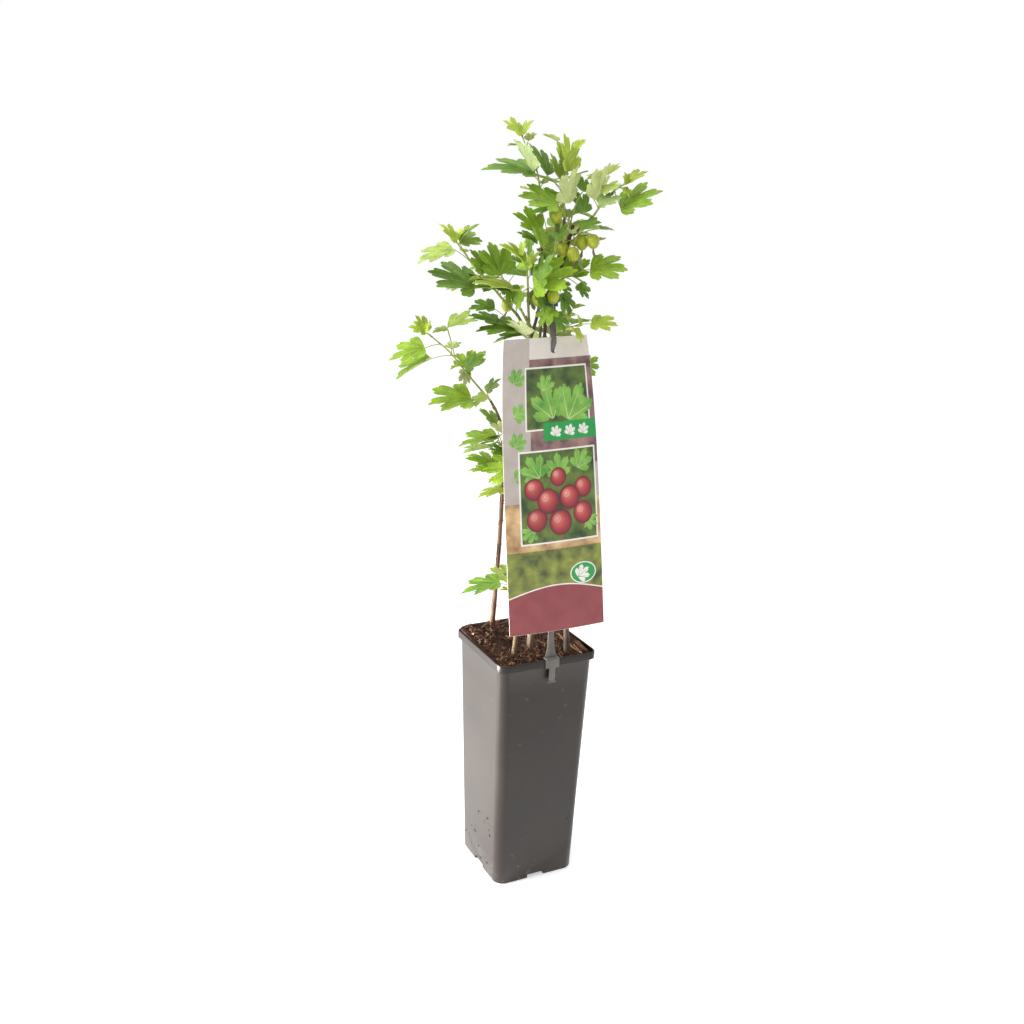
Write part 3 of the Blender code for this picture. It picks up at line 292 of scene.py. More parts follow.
# What is tried when a leaf finds no room: shifts in depth or height, and turns of its blade
SHIFTS = (0, -5, 5, -10, 10, -15, 15)
TURNS = ((0, 0), (0, 14), (0, -14), (14, 0), (-14, 0), (0, 28), (0, -28), (24, 12), (-24, 12))

# What the looks alone have: the tones of leaves that grow by rule, the width and length of the
# buds at the stalks' roots, and the tone that veins take up
RULED_TONES = "mdblodmb"
AXIL_BUD = (0.9, 2.6)
VEIN_TONE = (196, 208, 110)
# The steps of the limbs' rings along them, in millimetres
SHOOT_STEP = 1.6
CANE_STEP = 1.5
BOUGH_STEP = 1.0
# How many young leaves a shoot carries, and their tones
YOUNG_LEAVES = {"leaves_heart_front": (12, "mdb"), "leaves_heart_right": (9, "dmd"),
                "leaves_fruit": (8, "mdl"), "leaves_right_up": (8, "dml"), "leaves_top": (8, "yml"),
                "leaves_top_left": (8, "dym"), "leaves_under": (7, "dmd"), "leaves_mid": (7, "yly")}
FEW_YOUNG_LEAVES = (4, "yyl")
# Print on the card: the height of a layer of ink, the step of its points, its margin, a vein's
# width as a share of its leaf, a berry's rings, and the columns and rows of the sheet itself
LAYER = 0.012
PRINT_STEP = 2.6
PRINT_MARGIN = 0.2
VEIN_INK = 0.02
BERRY_RINGS = 11
CARD_COLUMNS = 20
CARD_ROWS = 56
# Crumbs on the pot's sides: their number, sizes, how high they reach, and how often each side is drawn
POT_CRUMBS = 90
CRUMB_SIZES = (0.6, 0.6, 0.8, 0.8, 1.1, 1.5, 2.2)
CRUMB_RISE = 60
CRUMB_SIDES = (0, 1, 2, 2, 2, 3)
# The compost's surface and what lies on it; a tone is a place in LITTER, counted from 0
SOIL_HALF = RIM_HALF - POT_WALL - 0.5
SOIL_BANDS = 42
SOIL_STEPS = 14
CHIPS = 1000
CHIP_SIZES = (2.4, 3.2, 4.0, 5.5, 7.0, 9.0)
CHIP_TONES = (0, 0, 1, 1, 1, 5, 5, 5, 3, 2)
STRAWS = 110
STRAW_TONES = (4, 1, 1, 5, 5, 2, 3)
STRAW_RADII = (0.2, 0.26, 0.36)
# The long splinters by the right wall: their ends, width, thickness and tone
SPLINTERS = (((39, 8), (35, -44), 2.6, 1.4, 2), ((47, -20), (43, -43), 5.0, 2.2, 1),
             ((41, -24), (38, -46), 1.8, 1.0, 4), ((-20, 41), (-34, 30), 2.4, 1.2, 3))
# The camera: the image's size and the focal length in pixels, its place in metres, and its tilt
IMAGE_SIZE = 1024
CAMERA_FOCUS = 1105
CAMERA_PLACE = (-0.4748, -0.8981, 0.6713)
CAMERA_PITCH = radians(-16.31)
CAMERA_ROLL = radians(2.16)


def plan(point):
    """The place, in the pot's frame, of a point given as across, back and up."""
    across, back, up = point
    return ACROSS * across + BACK * back + UP * up


def loft(rings):
    """A closed shape through rings that have the same number of points."""
    count = len(rings[0])
    points = [p for ring in rings for p in ring]
    faces = [tuple(reversed(range(count)))]
    for k in range(len(rings) - 1):
        for i in range(count):
            j = (i + 1) % count
            faces.append((k * count + i, k * count + j, (k + 1) * count + j, (k + 1) * count + i))
    faces.append(tuple(range((len(rings) - 1) * count, len(rings) * count)))
    return points, faces


def rounded_rectangle(half_x, half_y, corner, z, steps=3):
    """A level ring of points with round corners of so many steps."""
    ring = []
    for quarter, (sx, sy) in enumerate(((1, 1), (-1, 1), (-1, -1), (1, -1))):
        for k in range(steps + 1):
            turn = pi / 2 * (quarter + k / steps)
            ring.append((sx * (half_x - corner) + corner * cos(turn),
                         sy * (half_y - corner) + corner * sin(turn), z))
    return ring


def smooth_route(points, steps=3):
    """A Catmull-Rom curve through the points."""
    p = [Vector(q) for q in points]
    p = [p[0] * 2 - p[1]] + p + [p[-1] * 2 - p[-2]]
    route = []
    for a, b, c, d in zip(p, p[1:], p[2:], p[3:]):
        for k in range(steps):
            t = k / steps
            route.append(0.5 * (2 * b + (c - a) * t + (2 * a - 5 * b + 4 * c - d) * t ** 2
                                + (3 * b - a - 3 * c + d) * t ** 3))
    return route + [p[-2]]


def heading(route, k):
    """The direction of a route at one of its points."""
    return (route[min(k + 1, len(route) - 1)] - route[max(k - 1, 0)]).normalized()


def lengths_along(route):
    """How far along the route each of its points is."""
    run = [0.0]
    for a, b in zip(route, route[1:]):
        run.append(run[-1] + (b - a).length)
    return run


def place_on(route, share):
    """The point and the direction at a share of the route's length."""
    run = lengths_along(route)
    want = share * run[-1]
    for k in range(len(route) - 1):
        if want <= run[k + 1] or k == len(route) - 2:
            step = route[k + 1] - route[k]
            return route[k] + step * ((want - run[k]) / step.length), step.normalized()


def blend(values, share):
    """A value from an even list of them, at a share from 0 to 1."""
    spot = min(max(share, 0), 1) * (len(values) - 1)
    k = min(int(spot), len(values) - 2)
    return values[k] + (values[k + 1] - values[k]) * (spot - k)


def round_tube(route, radius_at, sides, wobble=None):
    """A closed tube along a route; radius_at and wobble take the run in millimetres."""
    run = lengths_along(route)
    side = Vector((1, 0, 0))
    rings = []
    for k, point in enumerate(route):
        along = heading(route, k)
        side = (side - along * side.dot(along)).normalized()
        other = along.cross(side)
        ring = []
        for i in range(sides):
            turn = 2 * pi * i / sides
            radius = radius_at(run[k]) * (wobble(run[k], turn) if wobble else 1)
            ring.append(point + (side * cos(turn) + other * sin(turn)) * radius)
        rings.append(ring)
    return loft(rings)


def tube(route, radii, sides):
    """A closed tube that tapers evenly through its radii."""
    total = lengths_along(route)[-1]
    return round_tube(route, lambda run: blend(radii, run / total), sides)


def soil_height(x, y):
    """The compost's surface: level in front, heaped up towards the back left corner."""
    heap = min(max((y - 0.35 * x + 5) / 45, 0), 1)
    heap = heap * heap * (3 - 2 * heap)
    lumps = sin(0.31 * x + 1.3) * sin(0.27 * y + 0.4) + 0.6 * sin(0.55 * x - 0.43 * y)
    return SOIL_LEVEL + SOIL_HEAP * heap + SOIL_LUMPS * lumps


def round_block(centre, radius, low, high, sides=12):
    """An upright round plug between two heights."""
    turns = [2 * pi * k / sides for k in range(sides)]
    return loft([[(centre.x + radius * cos(turn), centre.y + radius * sin(turn), z) for turn in turns]
                 for z in (low, high)])


def cane_route(name):
    """A cane's smooth route in the pot's frame, its foot sunk a little below the compost."""
    route = [plan(p) for p in CANES[name].route]
    route[0].z = soil_height(route[0].x, route[0].y) - FOOT_SINK
    return smooth_route(route)


def leave_limb(route, radii, height, first, radius):
    """Where a side limb starts: just clear of its parent's surface at a height."""
    for k in range(len(route) - 1):
        if route[k].z <= height <= route[k + 1].z:
            share = (height - route[k].z) / (route[k + 1].z - route[k].z)
            spot = route[k].lerp(route[k + 1], share)
            along = (route[k + 1] - route[k]).normalized()
            run = lengths_along(route)
            parent_radius = blend(radii, (run[k] + share * (run[k + 1] - run[k])) / run[-1])
            outward = (first - spot) - along * (first - spot).dot(along)
            slope = abs((first - spot).normalized().dot(along))
            return spot + outward.normalized() * (parent_radius + radius * slope + 1.2 * GAP)
    raise ValueError("the parent doesn't reach this height")


def beyond_tip(route, first, radius):
    """Where a shoot starts: just clear of the limb tip that it stands on."""
    along = (route[-1] - route[-2]).normalized()
    skew = along.cross((first - route[-1]).normalized()).length
    return route[-1] + along * (1.2 * GAP + radius * skew)


def blade(base, along, face, length, thickness):
    """A lobed leaf blade: a fan of facets round a point on its midrib, folded at the midrib."""
    side = along.cross(face).normalized()
    face = side.cross(along).normalized()
    outline = [(-turn, reach) for turn, reach in reversed(LEAF_OUTLINE)] + [(0, 1)] + list(LEAF_OUTLINE)
    top = [base + along * (LEAF_HEART * length), base]
    for turn, reach in outline:
        out = reach * length * sin(radians(turn))
        forth = reach * length * cos(radians(turn))
        lift = LEAF_FOLD * abs(out) - LEAF_DROOP * length * reach ** 2
        top.append(base + along * forth + side * out + face * lift)
    count = len(top)
    points = [p + face * (thickness / 2) for p in top] + [p - face * (thickness / 2) for p in top]
    faces = []
    for k in range(1, count):
        after = k + 1 if k + 1 < count else 1
        faces.append((0, k, after))
        faces.append((count, count + after, count + k))
        faces.append((k, count + k, count + after, after))
    return points, faces


def stalk(start, end, along, radius):
    """A three-sided leaf stalk that runs a little way into the blade."""
    return tube([start, end + along * STALK_SINK], (radius * STALK_FLARE, radius * STALK_TIP), 3)


def berry(centre, width, length):
    """An oval berry hanging on its long axis."""
    rings = []
    for k in range(4):
        turn = pi * (k + 0.4) / 3.8
        rings.append([centre + Vector((cos(pi * i / 3) * sin(turn) * width / 2,
                                       sin(pi * i / 3) * sin(turn) * width / 2,
                                       -cos(turn) * length / 2)) for i in range(6)])
    return loft(rings)


def direction(turn, toward):
    """A direction from its turn in the picture and its slope towards the viewer."""
    flat = cos(radians(toward))
    return plan((cos(radians(turn)) * flat, -sin(radians(toward)), sin(radians(turn)) * flat))


def tabled_leaf(route, leaf, shift, swing, nod):
    """The stalk's ends, the blade's direction, the way its upper side looks and its length."""
    start, _ = place_on(route, leaf.share)
    way = direction(leaf.stalk_turn + swing / 2, (leaf.toward + nod) / 2)
    end = start + way * leaf.stalk + BACK * shift
    along = direction(leaf.turn + swing, leaf.toward + nod)
    edge_on = leaf.turn + (90 if cos(radians(leaf.turn)) > 0 else -90)
    face = radians(leaf.face)
    look = direction(edge_on, 0) * cos(face) - BACK * sin(face)
    return start, end, along, look, leaf.length


def ruled_leaves(route, name, count, hidden_side):
    """Leaves set round the shoot by the golden angle, shorter towards its tip."""
    draw = random.Random(name)
    leaves = []
    for k in range(count):
        share = 0.1 + (0.6 if hidden_side else 0.88) * (k + draw.random() * 0.5) / count
        start, along = place_on(route, share)
        side = along.cross(BACK).normalized()
        away = side.cross(along).normalized()
        away = away if away.dot(BACK) > 0 else -away
        turn = k * GOLDEN_TURN + draw.uniform(-0.4, 0.4)
        if hidden_side:
            turn = HIDDEN_SPREAD * sin(turn)
        outward = away * cos(turn) + side * sin(turn)
        stalk_length = draw.uniform(*RULED_STALK) * (1 - RULED_SHRINK * share)
        length = draw.uniform(*RULED_LENGTH) * (1 - RULED_SHRINK * share)
        rise = (outward + along * 0.5 + UP * 0.25).normalized()
        lie = (outward + along * 0.15 + UP * draw.uniform(-0.25, 0.3)).normalized()
        stray = Vector((draw.uniform(-0.3, 0.3), draw.uniform(-0.3, 0.3), 0))
        look = (UP + outward * 0.35 + stray).normalized()
        leaves.append((start, start + rise * stalk_length, lie, look, length))
    return leaves


def turned(leaf, shift, swing, nod):
    """The same leaf raised, and swung sideways and nodded round its stalk's root."""
    start, end, along, look, length = leaf
    side = along.cross(UP).normalized()
    lean = UP * sin(radians(nod)) + side * sin(radians(swing))
    end = start + ((end - start).normalized() + lean * 0.5).normalized() * (end - start).length + UP * shift
    return start, end, (along + lean).normalized(), look, length


def tree_of(shape):
    """A search tree of a shape's faces."""
    return BVHTree.FromPolygons([tuple(p) for p in shape[0]], shape[1])


class Thicket:
    """All that has been placed, with its owner's name and its kind, so that no leaf grows through it."""

    def __init__(self):
        self.held = []

    def hold(self, owner, kind, shape):
        """Keep a shape's place from now on."""
        self.held.append((owner, kind, tree_of(shape)))

    def clear_of(self, shape, owner, own_kinds=()):
        """Whether a shape touches nothing; of its owner's things, only the kinds named count."""
        probe = tree_of(shape)
        return not any(probe.overlap(tree) for name, kind, tree in self.held
                       if name != owner or kind in own_kinds)


def leaf_shapes(leaf, slack=0.0):
    """A leaf's stalk and blade as plain solids, thickened by a slack."""
    start, end, along, look, length = leaf
    return (stalk(start, end, along, STALK_RADIUS + slack),
            blade(end, along, look, length + 2 * slack, LEAF_THICKNESS + 3 * slack))


def find_room(thicket, name, choices):
    """The first of a leaf's places where it's clear of all but its own stem, or None."""
    for leaf in choices:
        root, plate = leaf_shapes(leaf, CLEARANCE)
        if thicket.clear_of(root, name) and thicket.clear_of(plate, name, ("stem", "blade")):
            root, plate = leaf_shapes(leaf)
            thicket.hold(name, "stalk", root)
            thicket.hold(name, "blade", plate)
            return leaf
    return None


def berry_places(route, fruit):
    """A berry's centre, its stalk's root on the shoot, and the stalk's end in the berry."""
    centre = plan((fruit.across, fruit.back, fruit.up))
    root, _ = place_on(route, fruit.share)
    return centre, root, centre + UP * (BERRY_LENGTH / 2 - BERRY_SINK)


def hang_berry(thicket, name, route, fruit):
    """Whether a berry and its stalk find room; the thicket then holds them."""
    centre, root, top = berry_places(route, fruit)
    hanger = stalk(root, top, -UP, BERRY_STALK_RADIUS)
    slack = berry(centre, BERRY_WIDTH + 2 * CLEARANCE, BERRY_LENGTH + 2 * CLEARANCE)
    room = thicket.clear_of(slack, name, ("stem", "blade")) and thicket.clear_of(hanger, name)
    if room:
        thicket.hold(name, "blade", berry(centre, BERRY_WIDTH, BERRY_LENGTH))
        thicket.hold(name, "stalk", hanger)
    return room


def mesh_shape(thing):
    """An object's points in millimetres and its faces."""
    return ([v.co / MM for v in thing.data.vertices], [tuple(p.vertices) for p in thing.data.polygons])


def card_point(across, down, out):
    """A point of the label card's own plane: across it, down from its top edge, out in front."""
    wide = Vector((cos(CARD_TURN), sin(CARD_TURN), 0))
    front = Vector((sin(CARD_TURN), -cos(CARD_TURN), 0))
    fall = -UP * cos(CARD_SWING) + front * sin(CARD_SWING)
    out_way = front * cos(CARD_SWING) + UP * sin(CARD_SWING)
    level = across * cos(CARD_LEAN) - down * sin(CARD_LEAN)
    drop = across * sin(CARD_LEAN) + down * cos(CARD_LEAN)
    return plan(CARD_TOP) + wide * level + fall * drop + out_way * out


def sheet_point(across, down, out):
    """A point of the sheet itself: its sides bow back a little, and its top is twisted."""
    twist = CARD_TWIST * exp(-max(down, 0) / CARD_TWIST_REACH)
    out -= CARD_BOW * (2 * across / CARD_WIDTH) ** 2
    return card_point(across * cos(twist) + out * sin(twist), down, out * cos(twist) - across * sin(twist))


def drain_block(outward, sideways, near, far, half_width, low, high):
    """A block that reaches out from the pot's middle, for a drain notch or the pocket round it."""
    corners = [outward * near - sideways * half_width, outward * far - sideways * half_width,
               outward * far + sideways * half_width, outward * near + sideways * half_width]
    return loft([[(c.x, c.y, z) for c in corners] for z in (low, high)])


def pot_side(quarter):
    """The way out of one of the pot's sides, and the way along it."""
    turn = quarter * pi / 2
    return Vector((cos(turn), sin(turn), 0)), Vector((-sin(turn), cos(turn), 0))


# Tones of the leaves, as the sRGB colours of their upper sides, and of their undersides
TONES = {
    "y": ((180, 202, 74), (200, 214, 126)),
    "b": ((146, 182, 48), (186, 200, 116)),
    "l": ((164, 186, 90), (190, 204, 138)),
    "m": ((136, 172, 54), (178, 194, 114)),
    "d": ((108, 146, 48), (162, 180, 102)),
    "g": ((140, 164, 94), (178, 194, 132)),
    # Tones p and w: pale undersides, brightened further by a painted glow of light shining through the leaf
    "p": ((138, 170, 66), (194, 202, 146)),
    "o": ((160, 178, 66), (190, 200, 116)),
    "w": ((150, 178, 80), (208, 218, 150)),
}


def linear(colour):
    """A linear colour from its sRGB values of 0 to 255."""
    shares = [c / 255 for c in colour]
    return tuple(c / 12.92 if c <= 0.04045 else ((c + 0.055) / 1.055) ** 2.4 for c in shares)


def speckle(made, place, grain, detail):
    """The strength of a noise over a material's surface."""
    nodes, links = made.node_tree.nodes, made.node_tree.links
    texture = nodes.new("ShaderNodeTexNoise")
    texture.inputs["Scale"].default_value = grain
    texture.inputs["Detail"].default_value = detail
    links.new(place, texture.inputs["Vector"])
    return texture.outputs["Fac"]


def spread(made, value, low, high, source=(0, 1)):
    """A value of a material stretched from its source range to the range from low to high."""
    nodes, links = made.node_tree.nodes, made.node_tree.links
    stretch = nodes.new("ShaderNodeMapRange")
    stretch.inputs["From Min"].default_value, stretch.inputs["From Max"].default_value = source
    stretch.inputs["To Min"].default_value = low
    stretch.inputs["To Max"].default_value = high
    links.new(value, stretch.inputs["Value"])
    return stretch.outputs["Result"]


def finish(name, dark, light, grain=120.0, stretch=(1, 1, 1), roughness=(0.45, 0.6), bump=0.2,
           relief=0.0005, fine=600.0, **sockets):
    """A procedural material: two tones mixed by a noise, which also varies its gloss, and a relief."""
    made = bpy.data.materials.new(name)
    made.use_nodes = True
    nodes, links = made.node_tree.nodes, made.node_tree.links
    shader = nodes["Principled BSDF"]
    for socket, value in sockets.items():
        shader.inputs[socket.replace("_", " ")].default_value = value
    place = nodes.new("ShaderNodeTexCoord")
    scaled = nodes.new("ShaderNodeMapping")
    scaled.inputs["Scale"].default_value = stretch
    links.new(place.outputs["Object"], scaled.inputs["Vector"])
    mottle = speckle(made, scaled.outputs["Vector"], grain, 4)
    ramp = nodes.new("ShaderNodeValToRGB")
    for stop, position, tone in zip(ramp.color_ramp.elements, (0.32, 0.68), (dark, light)):
        stop.position = position
        stop.color = (*linear(tone), 1)
    links.new(mottle, ramp.inputs["Fac"])
    links.new(ramp.outputs["Color"], shader.inputs["Base Color"])
    links.new(spread(made, mottle, *roughness), shader.inputs["Roughness"])
    if bump:
        lift = nodes.new("ShaderNodeBump")
        lift.inputs["Strength"].default_value = bump
        lift.inputs["Distance"].default_value = relief
        links.new(speckle(made, scaled.outputs["Vector"], fine, 3), lift.inputs["Height"])
        links.new(lift.outputs["Normal"], shader.inputs["Normal"])
    return made


def shades(tone, low, high):
    """A darker and a lighter shade of a tone."""
    return [tuple(min(255, c * factor) for c in tone) for factor in (low, high)]


class Heap:
    """Points in millimetres, faces and their materials, gathered into one mesh."""

    def __init__(self):
        self.points = []
        self.faces = []
        self.slots = []
        self.count = 0

    def add(self, points, faces, slot=0):
        """Add a shape, with one material for it all or one for each face."""
        points = np.asarray(points, dtype=float).reshape(-1, 3)
        self.points.append(points)
        start = self.count
        if isinstance(faces, np.ndarray):
            self.faces.extend((faces + start).tolist())
        else:
            self.faces.extend([i + start for i in face] for face in faces)
        self.slots.extend(slot if isinstance(slot, (list, np.ndarray)) else [slot] * len(faces))
        self.count += len(points)

    def piece(self, name, materials, smooth=radians(40), stands_for=()):
        """Make the mesh under its name, smooth up to an angle, and hide the nodes that it stands for."""
        mesh = bpy.data.meshes.new(name)
        mesh.from_pydata((np.concatenate(self.points) * MM).tolist(), [], self.faces)
        mesh.polygons.foreach_set("material_index", np.array(self.slots, dtype=np.int32))
        for made in materials:
            mesh.materials.append(made)
        mesh.shade_smooth()
        mesh.set_sharp_from_angle(angle=smooth)
        thing = bpy.data.objects.new(name, mesh)
        bpy.context.scene.collection.objects.link(thing)
        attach(thing, "root")
        if stands_for:
            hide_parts(*stands_for)
        return thing


def grid_faces(rows, columns, closed=False, flip=False):
    """Quads between rows of points; a closed grid joins its last column to its first."""
    faces = []
    for r in range(rows - 1):
        for c in range(columns if closed else columns - 1):
            after = (c + 1) % columns
            quad = [r * columns + c, r * columns + after, (r + 1) * columns + after, (r + 1) * columns + c]
            faces.append(quad[::-1] if flip else quad)
    return faces


def slab_faces(rows, columns, flip=False):
    """Faces of two skins with rows of points in the same order, and of the rim that joins them."""
    skin = grid_faces(rows, columns, flip=flip)
    count = rows * columns
    rim = list(range(columns)) + [r * columns + columns - 1 for r in range(1, rows)]
    rim += [(rows - 1) * columns + c for c in range(columns - 2, -1, -1)]
    rim += [r * columns for r in range(rows - 2, 0, -1)]
    faces = skin + [[count + i for i in face[::-1]] for face in skin]
    return faces + [[a, b, count + b, count + a] for a, b in zip(rim, rim[1:] + rim[:1])]


def resample(route, step):
    """Points at even steps along a route."""
    total = lengths_along(route)[-1]
    count = max(2, int(total / step))
    return [place_on(route, k / count)[0] for k in range(count + 1)]


# A leaf's lobes and the bays between them, as turns from the midrib in degrees and reaches
LOBES = ((0, 1.0), (33, 0.90), (63, 0.62))
BAYS = ((15, 0.56), (48, 0.46), (88, 0.22))
TEETH = 1.5
TOOTH_DEPTH = 0.10
TOOTH_MIDDLE = 0.6
SPANS = 9
# The rings of points that make a leaf's skin, as shares of its reach from the edge to the root
RIPPLES = (1.0, 0.95, 0.88, 0.76, 0.62, 0.46, 0.3, 0.14, 0.0)
ROOT_REACH = 0.012
BLADE_THICKNESS = 0.32


def half_outline():
    """Turns and reaches of one half of a leaf's edge, from the tip to the base."""
    turns = []
    reaches = []
    edges = [(LOBES[0], BAYS[0], False)]
    for lobe, bay_before, bay_after in zip(LOBES[1:], BAYS, BAYS[1:]):
        edges += [(lobe, bay_before, True), (lobe, bay_after, False)]
    for lobe, bay, rising in edges:
        for k in range(SPANS):
            u = 1 - k / SPANS if rising else k / SPANS
            turns.append(lobe[0] + (bay[0] - lobe[0]) * u)
            full = bay[1] + (lobe[1] - bay[1]) * (1 - u ** 2.3) ** 0.75
            reaches.append(full * (1 + TOOTH_DEPTH * (abs(cos(pi * TEETH * u)) - TOOTH_MIDDLE)))
    return turns + [BAYS[-1][0]], reaches + [BAYS[-1][1]]


HALF_TURNS, HALF_REACHES = half_outline()
EDGE_TURNS = np.radians([-t for t in reversed(HALF_TURNS[1:])] + HALF_TURNS)
EDGE_REACHES = np.array(list(reversed(HALF_REACHES[1:])) + HALF_REACHES)
VEIN_TURNS = np.radians([0, 33, -33, 62, -62])
VEIN_REACHES = (0.95, 0.84, 0.84, 0.54, 0.54)
MAIN_VEIN = 0.011
SIDE_VEIN = 0.005
BLADE_FACES = np.array(slab_faces(len(RIPPLES), len(EDGE_TURNS)))
SKIN_FACES = (len(RIPPLES) - 1) * (len(EDGE_TURNS) - 1)


class Blade:
    """The curved surface of one leaf, with the draws that make it its own."""

    def __init__(self, base, along, look, length, draw):
        side = along.cross(look).normalized()
        face = side.cross(along).normalized()
        self.base = np.array(base)
        self.axes = np.array((along, side, face))
        self.length = length
        self.fold = LEAF_FOLD * draw.uniform(0.7, 1.5)
        self.droop = LEAF_DROOP * draw.uniform(0.6, 1.9)
        self.lobe_fold = draw.uniform(0.10, 0.24)
        self.wave = draw.uniform(0.008, 0.028)
        self.phase = draw.uniform(0, FULL_TURN)
        self.twist = draw.uniform(-0.10, 0.10)
        self.wide = draw.uniform(0.94, 1.04)
        self.ragged = np.array([draw.uniform(0.93, 1.05) for _ in range(7)])

    def edge(self):
        """The reaches of the leaf's edge, made uneven by its own draws."""
        return EDGE_REACHES * np.interp(EDGE_TURNS, np.linspace(-1.25, 1.25, 7), self.ragged)

    def place(self, turn, reach, lift=0.0):
        """Points in millimetres at turns and reaches, lifted off the surface."""
        forth = reach * np.cos(turn)
        out = reach * np.sin(turn) * self.wide
        height = self.fold * np.abs(out) - self.droop * reach ** 2
        gap = np.min(np.abs(np.sin(turn[..., None] - VEIN_TURNS)), axis=-1)
        height += self.lobe_fold * reach * np.minimum(gap, 0.35)
        height += self.wave * reach ** 2 * np.sin(7 * turn + self.phase) * 1.4
        height += self.twist * out * reach
        height += 0.006 * np.sin(38 * reach + 6 * np.abs(turn)) * np.minimum(gap * 5, 1)
        flat = np.stack((forth, out, height), axis=-1) * self.length
        flat[..., 2] += lift
        return self.base + flat @ self.axes


def add_blade(heap, base, along, look, length, tone, draw):
    """A lobed, toothed leaf: two skins, its rim, and raised pale veins on both sides."""
    leaf = Blade(base, along, look, length, draw)
    shares = np.array(RIPPLES)[:, None]
    reach = shares * leaf.edge() + ROOT_REACH * (1 - shares)
    turn = np.broadcast_to(EDGE_TURNS, reach.shape)
    skins = [leaf.place(turn, reach, lift) for lift in (BLADE_THICKNESS / 2, -BLADE_THICKNESS / 2)]
    upper, under, vein = range(3 * tone, 3 * tone + 3)
    slots = np.full(len(BLADE_FACES), upper)
    slots[SKIN_FACES:2 * SKIN_FACES] = under
    heap.add(skins, BLADE_FACES, slots)
    add_veins(heap, leaf, 1, 0.05, vein)
    add_veins(heap, leaf, -1, 0.12, under)


def add_veins(heap, leaf, skin, thick, slot):
    """Five main veins and their side veins, as narrow ridges on one skin of a leaf."""
    lines = []
    for turn, reach in zip(VEIN_TURNS, VEIN_REACHES):
        way = np.array((cos(turn), sin(turn)))
        lines.append((way * 0.01, way * reach, MAIN_VEIN))
        branches = 4 if abs(turn) < 1 else 2
        for k in range(branches):
            root = way * reach * (0.36 + 0.5 * k / branches)
            for hand in (-1, 1):
                lean = turn + hand * radians(38 - 4 * k)
                end = root + np.array((cos(lean), sin(lean))) * (0.21 - 0.035 * k)
                lines.append((root, end, SIDE_VEIN))
    lift = skin * (BLADE_THICKNESS / 2 + np.array((0.02, thick + 0.05, 0.02)))
    for root, end, width in lines:
        steps = np.linspace(0, 1, 6 if width == MAIN_VEIN else 4)
        middle = root + (end - root) * steps[:, None]
        way = (end - root) / np.linalg.norm(end - root)
        across = np.array((-way[1], way[0]))
        half = width * (1 - 0.75 * steps)
        spots = np.stack([middle + across * (half * e)[:, None] for e in (-1, 0, 1)], axis=1)
        turn = np.arctan2(spots[..., 1], spots[..., 0])
        reach = np.hypot(spots[..., 0], spots[..., 1])
        heap.add(leaf.place(turn, reach, lift[None, :]),
                 np.array(grid_faces(len(steps), 3, flip=skin > 0)), slot)


def add_stalk(heap, start, end, along, radius):
    """A stalk that arches a little from its swollen root into the blade or berry."""
    reach = (end - start).length
    bow = UP * (0.05 * reach)
    points = []
    for k in range(8):
        t = k / 7
        points.append(start.lerp(end, t) + bow * (4 * t * (1 - t)))
    points.append(end + along * STALK_SINK)

    def radius_at(run):
        return radius * (0.72 + 0.75 * exp(-run / 1.6)) * (1 - 0.25 * min(run / reach, 1))
    heap.add(*round_tube(points, radius_at, 6), 1)


def add_bud(heap, spot, way, size, slot):
    """A small pointed bud, or a thorn where it's drawn out long."""
    width, length = size
    route = [spot + way * (length * t) for t in (0, 0.25, 0.55, 0.8, 1)]
    widths = (1.0, 0.95, 0.62, 0.32, 0.06)
    heap.add(*round_tube(route, lambda run: width * blend(widths, run / length), 6), slot)


BERRY_ROWS = 15
BERRY_COLUMNS = 40
VEIN_COLUMNS = 4


def add_berry(heap, centre, draw):
    """An oval berry with pale meridian veins, and the dry tail of its flower."""
    tilt = Vector((draw.uniform(-0.14, 0.14), draw.uniform(-0.14, 0.14), -1)).normalized()
    side = tilt.orthogonal().normalized()
    other = tilt.cross(side)
    half = BERRY_LENGTH / 2
    # The columns beside a vein are drawn in towards it
    shift_by = {1: -0.68, VEIN_COLUMNS - 1: 0.68}
    points = []
    for r in range(BERRY_ROWS):
        turn = pi * (0.03 + 0.94 * r / (BERRY_ROWS - 1))
        round_off = 1 + 0.05 * cos(turn)
        for c in range(BERRY_COLUMNS):
            beside = c % VEIN_COLUMNS
            ridge = 1.0 if beside else 1.008
            angle = 2 * pi * (c + shift_by.get(beside, 0)) / BERRY_COLUMNS
            out = sin(turn) * BERRY_WIDTH / 2 * ridge * round_off
            points.append(centre - tilt * (cos(turn) * half)
                          + (side * cos(angle) + other * sin(angle)) * out)
    faces = grid_faces(BERRY_ROWS, BERRY_COLUMNS, closed=True)
    slots = []
    for i in range(len(faces)):
        row, column = divmod(i, BERRY_COLUMNS)
        on_vein = column % VEIN_COLUMNS in (0, VEIN_COLUMNS - 1)
        slots.append(1 if on_vein and 0 < row < BERRY_ROWS - 2 else 0)
    faces.append(list(range(BERRY_COLUMNS))[::-1])
    faces.append([(BERRY_ROWS - 1) * BERRY_COLUMNS + c for c in range(BERRY_COLUMNS)])
    heap.add(points, faces, slots + [0, 0])
    foot = centre + tilt * (half - 0.5)
    sway = side * draw.uniform(-0.7, 0.7) + other * draw.uniform(-0.7, 0.7)
    route = [foot + tilt * (0.9 * k) + sway * (0.11 * k * k) for k in range(8)]
    heap.add(*round_tube(route, lambda run: 0.75 + 0.05 * run, 7,
                         lambda run, turn: 1 + 0.25 * sin(3 * turn + run)), 2)


def room_for(thicket, name, placed):
    """The first of a leaf's shifts and turns that finds room; placed gives the leaf for each."""
    return find_room(thicket, name, (placed(shift, *turn) for turn, shift in product(TURNS, SHIFTS)))


